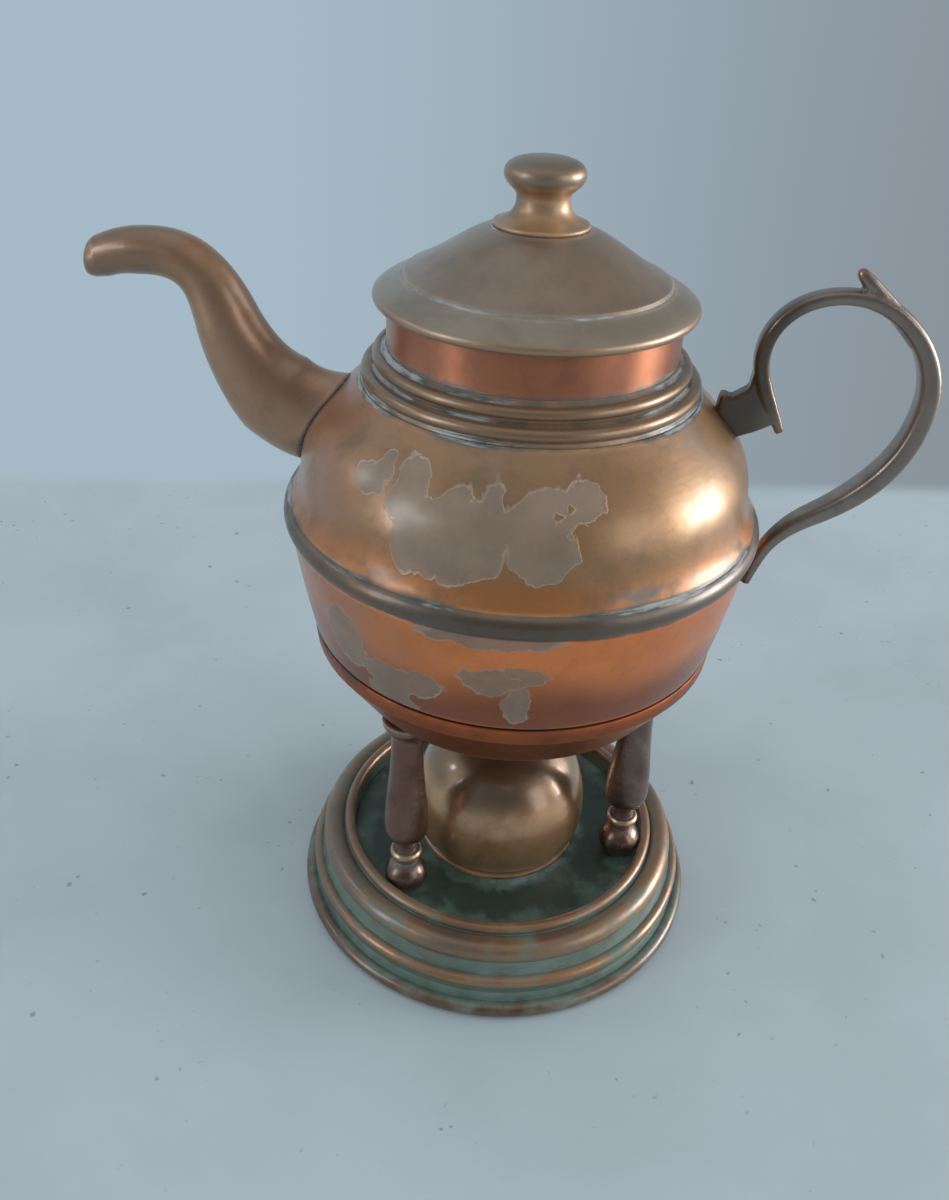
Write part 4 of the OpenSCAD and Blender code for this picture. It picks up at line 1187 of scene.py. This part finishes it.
class KETTLE_OT_spout(PieceOperator):
    """Make the swan-neck spout with its oval root"""
    bl_idname = "kettle.spout"
    bl_label = "Spout"

    def execute(self, context):
        p, k = sizes("spout_sizes"), sizes("kettle_sizes")
        sides, root_z, root_r = 72, k.shoulder_z - SPOUT_ROOT_DROP, k.waist_r - SIDE_INSET + 1
        bend = (-root_r - 21, root_z + 27.7)
        top, mouth = (-p.reach + 12, p.top_z), (-p.reach, p.top_z - 3.6)
        curves = [[(-root_r + 6, root_z), plus(bend, (13.5, -26.8)), plus(bend, (4, -13)), bend],
                  [bend, plus(bend, (-4.5, 13.5)), plus(top, (15, 1.5)), top],
                  [top, plus(top, (-4, -0.4)), plus(top, (-7, -1)), mouth]]
        thick = ([(t, p.root_half_h * share) for t, share in ((0.4, 1.06), (0.65, 0.86))]
                 + [(t, p.tube_r * share) for t, share in ((1, 1.3), (1.35, 1.04), (1.8, 0.94), (2.5, 0.84),
                                                           (2.8, 0.8), (2.95, 0.7), (3, 0.58))])
        slim = [(0.4, p.root_half_w / p.root_half_h), (1, 1)]

        def root_ring(shrink):
            ring = []
            for j in range(sides):
                w = math.tau * j / sides
                y, z = (p.root_half_w - shrink) * math.sin(w), root_z + (p.root_half_h - shrink) * math.cos(w)
                ring.append((-math.sqrt((body_r(z) - 0.15) ** 2 - y * y), y, z))
            return ring

        def ring_at(t, shrink):
            size = soft_lookup(t, thick) if 0.6 < t < 2.6 else looked_up(t, thick)
            upright = max(0.0, (t - 2.6) / 0.4) ** 2
            way = chain_dir(curves, t)
            way = unit((way[0] * (1 - upright) - upright, way[1] * (1 - upright)))
            at = plus(chain_at(curves, t), (-1.5 * upright, 0))
            return oval(at, way, size - shrink, size * looked_up(t, slim) - shrink, 1, sides)

        def skin(shrink):
            start, end, way = root_ring(shrink), ring_at(0.4, shrink), chain_dir(curves, 0.4)
            ribs = [[a, (a[0] - 5, a[1], a[2]), (b[0] - 5 * way[0], b[1], b[2] - 5 * way[1]), b]
                    for a, b in zip(start, end)]
            flare = [[bezier_at(rib, i / 13) for rib in ribs] for i in range(14)]
            along = [0.4 + 0.025 * i for i in range(2, 98)] + [2.85, 2.89, 2.93, 2.96, 2.98, 3.0]
            return flare + [ring_at(t, shrink) for t in along]

        outer, inner = skin(0.0), skin(p.wall)
        spout = lofted("spout_swan_neck", outer + inner[::-1], finish("bronze_spout"), True)
        settle(spout)
        for face in spout.data.polygons:
            face.use_smooth = True
        lip = Vector((mouth[0], 0, mouth[1])) * MM
        grime, edge = [], []
        for v in spout.data.vertices:
            out = -v.co.x / MM - math.sqrt(max(body_r(v.co.z / MM) ** 2 - (v.co.y / MM) ** 2, 1.0))
            near = v.co.z / MM < root_z + 16 and v.co.x / MM > -root_r - 12
            grime.append(clamp(math.exp(-(max(out, 0) / 1.5) ** 2) if near else 0.0))
            edge.append(clamp(1.4 - (v.co - lip).length / (4.5 * MM)))
        give(spout.data, "grime", grime)
        give(spout.data, "edge", edge)
        dress(spout, "kettle", "bronze", "spout")
        return {"FINISHED"}


class KETTLE_OT_handle(PieceOperator):
    """Make the cast handle with its bracket, curled tail, thumb spur and foot"""
    bl_idname = "kettle.handle"
    bl_label = "Handle"

    def execute(self, context):
        h, k = sizes("handle_sizes"), sizes("kettle_sizes")
        w, sides, band_z = h.loop_w, 32, band_middle(k)

        def from_top(x, z):
            return (h.reach - w * x, h.top_z - w * z)

        def by(p, x, z):
            return (p[0] + w * x, p[1] + w * z)

        tail, rise = from_top(0.812, 0.847), from_top(1, 0.376)
        crown, back = from_top(0.566, 0), from_top(0, 0.592)
        elbow = (h.reach - w * 0.523, band_z + 3.6)
        foot = (k.waist_r + 1.9, band_z - w * 0.449)
        curves = [[tail, by(tail, -0.067, 0.147), by(rise, 0, -0.173), rise],
                  [rise, by(rise, 0, 0.216), by(crown, -0.259, 0), crown],
                  [crown, by(crown, 0.302, 0), by(back, 0, 0.302), back],
                  [back, by(back, 0, -0.41), by(elbow, 0.259, 0.168), elbow],
                  [elbow, by(elbow, -0.216, -0.149), by(foot, 0.035, 0.216), foot]]
        shape = [(0, 0.36, 0.45), (0.5, 0.66, 0.7), (1, 0.62, 0.75), (1.5, 0.6, 0.72), (2, 0.58, 0.7),
                 (2.5, 0.74, 0.85), (3, 0.88, 0.95), (3.6, 0.95, 1), (4, 0.76, 0.84), (4.4, 0.56, 0.68),
                 (4.8, 0.5, 0.6), (5, 0.3, 0.4)]
        rings = [oval(chain_at(curves, t), chain_dir(curves, t),
                      h.thickness / 2 * soft_lookup(t, shape) + 0.02,
                      h.width / 2 * soft_lookup(t, shape, 2) + 0.12, 1.7, sides)
                 for t in (i / 40 for i in range(201))]
        spur_at = (h.reach - w * 0.559, h.spur_z - 1.2)
        spur = [[by(back, -0.138, 0.359), by(back, -0.272, 0.505), by(spur_at, 0.108, -0.108), spur_at]]
        spur_size = [(0, 0.74), (0.5, 0.65), (0.8, 0.56), (0.95, 0.41), (1, 0.21)]
        spur_rings = []
        for i in range(25):
            t = i / 24
            size = h.thickness / 2 * looked_up(t, spur_size) + 0.1
            spur_rings.append(oval(chain_at(spur, t), chain_dir(spur, t), size, size * 1.2, 1.3, sides))
        z = k.shoulder_z
        tip = (body_r(z - 3.2) + 2, z + 0.2)
        outline = [(body_r(z - 11.6) - 0.8, z - 12.2), (body_r(z - 5) - 0.6, z - 5.2), tip,
                   plus(tip, (1.2, 0.5)), plus(tip, (3, -0.4)), plus(tip, (4.8, 0.8)),
                   by(rise, -0.043, -0.203), by(rise, -0.03, -0.086), by(rise, 0.009, -0.065),
                   by(rise, 0.017, -0.194), by(tail, -0.052, 0.086), by(tail, -0.073, 0.039),
                   by(tail, -0.151, -0.004)]
        bracket = [[(x, y, zz) for x, zz in outline] for y in (-h.bracket_w / 2, h.bracket_w / 2)]
        pad_x, pad_z, pad_w, pad_h = body_r(foot[1] + 3) - 0.8, foot[1] + 0.6, 3, 4
        corners = ((pad_x, pad_z), (foot[0], pad_z), (foot[0], pad_z + pad_h), (pad_x, pad_z + pad_h))
        pad = [[(x, y, zz) for x, zz in corners] for y in (-pad_w / 2, pad_w / 2)]
        cast = finish("cast_handle")
        parts = [lofted("handle_part", r, cast, False) for r in (rings, spur_rings, bracket, pad)]
        handle = join(parts, "handle_casting")
        melt = handle.modifiers.new("melt", "REMESH")
        melt.mode, melt.voxel_size, melt.use_smooth_shade = "VOXEL", 0.42 * MM, True
        ease = handle.modifiers.new("ease", "SMOOTH")
        ease.factor, ease.iterations = 0.6, 5
        settle(handle)
        if not handle.data.materials:
            handle.data.materials.append(cast)
        read_bends(handle, 2.2)
        dress(handle, "kettle", "dark_bronze", "handle")
        return {"FINISHED"}


def join(parts, name):
    """One mesh object from several closed ones, each with its faces outwards."""
    work = bmesh.new()
    for part in parts:
        settle(part)
        work.from_mesh(part.data)
    mesh = parts[0].data
    work.to_mesh(mesh)
    work.free()
    for part in parts[1:]:
        bpy.data.objects.remove(part)
    parts[0].name = mesh.name = name
    return parts[0]


class KETTLE_OT_lid(PieceOperator):
    """Make the lid with its collar, knob, washer and nut"""
    bl_idname = "kettle.lid"
    bl_label = "Lid"

    def execute(self, context):
        d, k = sizes("lid_sizes"), sizes("kettle_sizes")
        edge_r = d.edge_t / 2
        edge = (d.edge_r - edge_r, k.neck_top_z - 0.7)
        foot, top = d.knob_foot_r, d.top_z
        join_at = plus(edge, (edge_r * math.cos(math.radians(60)), edge_r * math.sin(math.radians(60))))
        path = ([(0, top), (foot + 0.2, top)]
                + bezier([(foot + 0.3, top - 0.1), (foot + 8, top - 2.2), (d.step_r - 9.3, top - 8.1),
                          (d.step_r, top - 12.2)], 40)
                + [(d.step_r + 0.7, top - 13.1)]
                + bezier([(d.step_r + 1, top - 13.2), (d.step_r + 3, top - 14.4), (edge[0] - 1, edge[1] + 3),
                          join_at], 16)
                + arc(edge, edge_r, 45, -90, 16))
        dirt = [(d.step_r + 0.8, top - 13.0, 0.8, 1.0), (foot + 0.2, top, 0.9, 1.0),
                (edge[0], edge[1] - edge_r, 1.0, 0.6)]
        cover = turned("lid_cover_spun", sheet(path, d.wall), finish("bronze_lid"), 288, 0.7, 0.2, dirt)
        dress(cover, "lid", "bronze", "lid_cover")
        collar_r = k.neck_r - k.wall - 0.3
        z = k.neck_top_z
        ring = [(collar_r - 1, z - d.collar_depth), (collar_r, z - d.collar_depth), (collar_r, z),
                (k.neck_r + 0.1, z), (k.neck_r + 0.1, z + 0.8), (collar_r - 1, z + 0.8)]
        collar = turned("lid_collar_tube", ring, finish("copper_neck"), 256, 0.8, 0.2)
        dress(collar, "lid", "copper", "lid_collar")
        h, waist, wide = d.knob_h, d.knob_waist_r, d.knob_r
        outline = ([(0, -7), (STUD_R, -7), (STUD_R, 0), (foot - 0.4, 0)]
                   + arc((foot - 0.6, 0.7), 0.6, -40, 90, 8)
                   + bezier([(foot - 1, 1.4), (waist + 1, h * 0.15), (waist, h * 0.26), (waist, h * 0.425)],
                            18)
                   + bezier([(waist, h * 0.425), (waist, h * 0.55), (wide, h * 0.575), (wide, h * 0.76)], 18)
                   + bezier([(wide, h * 0.76), (wide, h * 0.91), (wide - 3, h), (0, h)], 24))
        knob = turned("lid_knob_turned", [(r, zz + top) for r, zz in outline], finish("bronze_knob"), 144,
                      0.5, 0.15, [(foot, top, 1.0, 1.0)])
        dress(knob, "lid", "bronze", "lid_knob")
        under = top - d.wall
        nut_top, washer_r = under - LID_WASHER_H, 6
        ring = [(STUD_R, nut_top), (washer_r, nut_top), (washer_r, under), (STUD_R, under)]
        washer = turned("lid_washer_ring", ring, finish("aged_brass"), 72, 0.8, 0.12)
        dress(washer, "lid", "brass", "lid_washer")
        nut = settle(hex_nut("lid_hex_nut", STUD_R, nut_top - LID_NUT_H, LID_NUT_H))
        dress(nut, "lid", "brass", "lid_nut")
        return {"FINISHED"}


def pot_foot_z(b, s):
    """Height of the underside of the pot, which sits a little into its foot ring."""
    return s.floor_z + b.foot_h - POT_OVERLAP


class KETTLE_OT_burner(PieceOperator):
    """Make the spirit burner on its foot ring"""
    bl_idname = "kettle.burner"
    bl_label = "Burner"

    def execute(self, context):
        b, s = sizes("burner_sizes"), sizes("stand_sizes")
        z = pot_foot_z(b, s)
        r, top, neck = b.pot_r, b.pot_top, b.neck_r
        rim, rim_z = neck + BURNER_NECK_WALL, top + BURNER_NECK_H
        path = ([(0, z), (r - 5.6, z)]
                + bezier([(r - 5.6, z), (r - 1.6, z), (r, z + 4.5), (r, z + 11)], 24)
                + bezier([(r, z + 11), (r, z + 27), (r - 6, top - 3.5), (rim, top)], 44) + [(neck, top)])
        dirt = [(r - 4, z + 0.8, 2.4, 1.0), (neck + 2, top, 2.6, 0.9)]
        pot = turned("burner_pot_spun", sheet(path, -b.wall), finish("aged_brass"), 224, 0.8, 0.25, dirt)
        dress(pot, "burner", "brass", "burner_reservoir")
        bore, z0, ledge = b.foot_r - 1.4, s.floor_z, b.foot_r - 4.6
        outline = [(bore, z0), (b.foot_r, z0), (b.foot_r, z0 + b.foot_h - 0.9), (bore, z),
                   (ledge, z), (ledge, z - b.wall)]
        foot = turned("burner_foot_ring", outline, finish("aged_brass"), 192, 0.6, 0.2,
                      [(b.foot_r, z0, 1.5, 0.9)])
        dress(foot, "burner", "brass", "burner_foot")
        outline = [(neck, top), (rim, top), (rim, rim_z), (neck, rim_z)]
        ring = turned("burner_neck_turned", outline, finish("aged_brass"), 96, 0.5, 0.3,
                      [(rim, top, 1.2, 0.9)])
        dress(ring, "burner", "brass", "burner_neck_ring")
        return {"FINISHED"}


class KETTLE_OT_wick(PieceOperator):
    """Make the knurled wick holder, its tube and the twisted cotton wick"""
    bl_idname = "kettle.wick"
    bl_label = "Wick"

    def execute(self, context):
        b, s = sizes("burner_sizes"), sizes("stand_sizes")
        rim, tube, inner = b.neck_r + BURNER_NECK_WALL, b.wick_r + 0.7, b.neck_r - 0.1
        cap = b.pot_top + BURNER_NECK_H
        cap_top, foot = cap + HOLDER_RIM_H, b.pot_top - 2
        outline = [(tube, foot), (inner, foot), (inner, cap), (rim, cap), (rim, cap_top), (tube, cap_top)]
        holder = turned("wick_holder_knurled", outline, finish("aged_brass"), 264, 0.4, 0.3,
                        cut=lambda p: 1.0 if p[0] > rim - 0.35 and p[1] > cap else 0.0,
                        flutes=b.knurls, depth=0.35)
        dress(holder, "wick_holder", "brass", "wick_holder")
        pipe_z, pipe_top = s.floor_z + 12, cap_top + 1.5
        ring = [(b.wick_r, pipe_z), (tube, pipe_z), (tube, pipe_top), (b.wick_r, pipe_top)]
        pipe = turned("wick_tube_pipe", ring, finish("aged_brass"), 72, 1.0, 0.15)
        dress(pipe, "wick_holder", "brass", "wick_tube")
        z0, z1, r = pot_foot_z(b, s) + 2.2, pipe_top + 2, b.wick_r - 0.02
        strand = turned("wick_strands", [(0, z0), (r, z0), (r, z1 - 0.5), (r - 0.6, z1), (0, z1)],
                        finish("cotton_wick"), 72, 0.5, 0.3, cut=lambda p: 1.0 if p[0] > 1.2 else 0.0,
                        flutes=6, depth=0.5, twist=1400.0)
        dress(strand, "wick_holder", "cotton", "wick")
        return {"FINISHED"}


# Studio

def table_finish(s, back):
    """A pale even table top with a faint mottle and a few dark specks. It fades out behind the line between
    the two points of its back edge."""
    material = bpy.data.materials.new("pale_table")
    tree = cleared(material)
    tone = shade(s.table, 1)
    place = add(tree, "ShaderNodeTexCoord").outputs["Object"]
    clouds = noise(tree, place, 11.0, 6.0, 0.6, 0.3)
    body = blend(tree, ramp(tree, clouds, 0.35, 0.7, 0.0, 0.4), tone, shade(tone, 0.78))
    specks = noise(tree, place, 260.0, 1.0, 0.4)
    thin = noise(tree, place, 30.0, 2.0, 0.5)
    dots = calc(tree, "MULTIPLY", ramp(tree, specks, 0.70, 0.76), ramp(tree, thin, 0.5, 0.62))
    body = blend(tree, calc(tree, "MULTIPLY", dots, 0.6), body, shade(tone, 0.3))
    surface = add(tree, "ShaderNodeBsdfPrincipled", {
        "Base Color": body, "Roughness": 0.62, "Specular IOR Level": 0.2})
    (x0, y0), (x1, y1) = back
    along = unit((x1 - x0, y1 - y0))
    behind = vectors(tree, "DOT_PRODUCT", place, (-along[1], along[0], 0.0), "Value")
    line = along[0] * y0 - along[1] * x0
    soft = 0.012
    gone = ramp(tree, behind, line - soft, line + soft)
    clear = add(tree, "ShaderNodeBsdfTransparent")
    mix = add(tree, "ShaderNodeMixShader", {0: gone, 1: surface.outputs[0], 2: clear.outputs[0]})
    add(tree, "ShaderNodeOutputMaterial", {"Surface": mix.outputs[0]})
    return material


def room_world(s):
    """A pale wall, a little darker at the right, and an even room light. What is mirrored is darker overhead
    and at the front."""
    world = bpy.data.worlds.new("pale_room")
    tree = cleared(world)
    seen = add(tree, "ShaderNodeLightPath")
    shown = calc(tree, "MAXIMUM", seen.outputs["Is Camera Ray"],
                 calc(tree, "MAXIMUM", seen.outputs["Is Glossy Ray"], seen.outputs["Is Transmission Ray"]))
    view = add(tree, "ShaderNodeTexCoord").outputs["Generated"]
    way = [coordinate(tree, view, axis) for axis in range(3)]
    tone = blend(tree, ramp(tree, way[0], -0.35, 0.40), shade(s.wall_left, 1), shade(s.wall_right, 1))
    depth = calc(tree, "MULTIPLY", ramp(tree, way[1], -0.75, 0.30, 0.40, 1.0),
                 ramp(tree, way[2], 0.45, 0.95, 1.0, 0.62))
    depth = calc(tree, "MAXIMUM", depth, seen.outputs["Is Camera Ray"])
    wall = add(tree, "ShaderNodeBackground", {"Color": tone, "Strength": depth})
    room = add(tree, "ShaderNodeBackground", {"Color": (0.95, 0.98, 1.0, 1.0), "Strength": s.room})
    mix = add(tree, "ShaderNodeMixShader", {0: shown, 1: room.outputs[0], 2: wall.outputs[0]})
    add(tree, "ShaderNodeOutputWorld", {"Surface": mix.outputs[0]})
    return world


def soft_light(name, place, target, size, brightness, tint):
    """A rectangular light of a given brightness, aimed at target."""
    lamp = bpy.data.lights.new(name, "AREA")
    lamp.shape, lamp.size, lamp.size_y = "RECTANGLE", size[0], size[1]
    lamp.energy, lamp.color = brightness * math.pi * size[0] * size[1], tint
    obj = bpy.data.objects.new(name, lamp)
    obj.location = place
    obj.rotation_euler = (Vector(target) - Vector(place)).to_track_quat("-Z", "Y").to_euler()
    bpy.context.scene.collection.objects.link(obj)


def photo_camera(lens_mm):
    """The camera that was fitted to the photograph. Its place is in metres."""
    lens = bpy.data.cameras.new("photo_camera")
    lens.sensor_width, lens.lens = 36.0, lens_mm
    lens.clip_start, lens.clip_end = 0.01, 20.0
    camera = bpy.data.objects.new("photo_camera", lens)
    camera.location = (0.01232, -0.2852, 0.3026)
    ahead = Vector((-0.0731, 0.8358, -0.5442)).normalized()
    side = ahead.cross(Vector((0, 0, 1))).normalized()
    roll = math.radians(2.92)
    right = side * math.cos(roll) + side.cross(ahead) * math.sin(roll)
    axes = Matrix((right, right.cross(ahead), -ahead))
    camera.rotation_mode = "QUATERNION"
    camera.rotation_quaternion = axes.transposed().to_quaternion()
    bpy.context.scene.collection.objects.link(camera)
    return camera


class KETTLE_OT_stage(PieceOperator):
    """Make the table, the wall, the soft lights and the camera"""
    bl_idname = "kettle.stage"
    bl_label = "Studio"

    def execute(self, context):
        scene = context.scene
        s = scene.stage_settings
        half = 3000
        corners = [(-half, -half, 0), (half, -half, 0), (half, half, 0), (-half, half, 0)]
        table = new_object("table_top", corners, [(0, 1, 2, 3)])
        table.data.materials.append(table_finish(s, ((-0.334, 0.264), (0.265, 0.368))))
        scene.world = room_world(s)
        lights = (
            ("window_light", (3.30, 0.62, 0.51), (1.50, 1.50), s.window, (1.0, 0.98, 0.95)),
            ("window_halo", (3.30, 1.00, 1.10), (2.60, 2.20), s.halo, (1.0, 0.99, 0.97)),
            ("left_strip", (-2.24, -1.34, 0.84), (0.36, 1.60), s.strip, (0.95, 0.98, 1.0)),
            ("right_side", (2.20, -1.24, 0.84), (0.90, 1.60), s.side, (1.0, 0.99, 0.98)),
            ("ceiling_light", (-0.1, -0.2, 1.3), (1.8, 1.4), s.ceiling, (0.96, 0.98, 1.0)),
            ("left_glint", (-0.91, -0.03, 0.58), (0.07, 0.10), s.glint, (0.88, 0.95, 1.0)),
            ("front_glint", (-0.68, -0.64, 0.53), (0.07, 0.10), s.glint, (0.88, 0.95, 1.0)))
        waist = (0.0, 0.0, 0.16)
        for name, place, size, brightness, tint in lights:
            soft_light(name, place, waist, size, brightness, tint)
        scene.camera = photo_camera(s.camera_lens / MM)
        scene.view_settings.view_transform = "Standard"
        return {"FINISHED"}


OPERATORS = (
    KETTLE_OT_base, KETTLE_OT_legs, KETTLE_OT_cradle, KETTLE_OT_bowl, KETTLE_OT_shoulder, KETTLE_OT_spout,
    KETTLE_OT_handle, KETTLE_OT_lid, KETTLE_OT_burner, KETTLE_OT_wick, KETTLE_OT_stage)


class KETTLE_PT_pieces(bpy.types.Panel):
    """Lists the pieces of the kettle and their sizes"""
    bl_idname = "KETTLE_PT_pieces"
    bl_label = "Spirit kettle"
    bl_space_type = "VIEW_3D"
    bl_region_type = "UI"
    bl_category = "Kettle"

    def draw(self, context):
        for operator in OPERATORS:
            self.layout.operator(operator.bl_idname)
        for name, group in GROUPS.items():
            box = self.layout.box()
            box.label(text=name.replace("_", " ").capitalize())
            for key in group.__annotations__:
                box.prop(getattr(context.scene, name), key)


def register():
    for group in GROUPS.values():
        bpy.utils.register_class(group)
    for name, group in GROUPS.items():
        setattr(bpy.types.Scene, name, PointerProperty(type=group))
    for operator in OPERATORS:
        bpy.utils.register_class(operator)
    bpy.utils.register_class(KETTLE_PT_pieces)


def unregister():
    bpy.utils.unregister_class(KETTLE_PT_pieces)
    for operator in reversed(OPERATORS):
        bpy.utils.unregister_class(operator)
    for name, group in GROUPS.items():
        delattr(bpy.types.Scene, name)
        bpy.utils.unregister_class(group)


def main():
    register()
    for operator in OPERATORS:
        group, name = operator.bl_idname.split(".")
        getattr(getattr(bpy.ops, group), name)()
    bpy.context.view_layer.update()


if __name__ == "__main__":
    main()
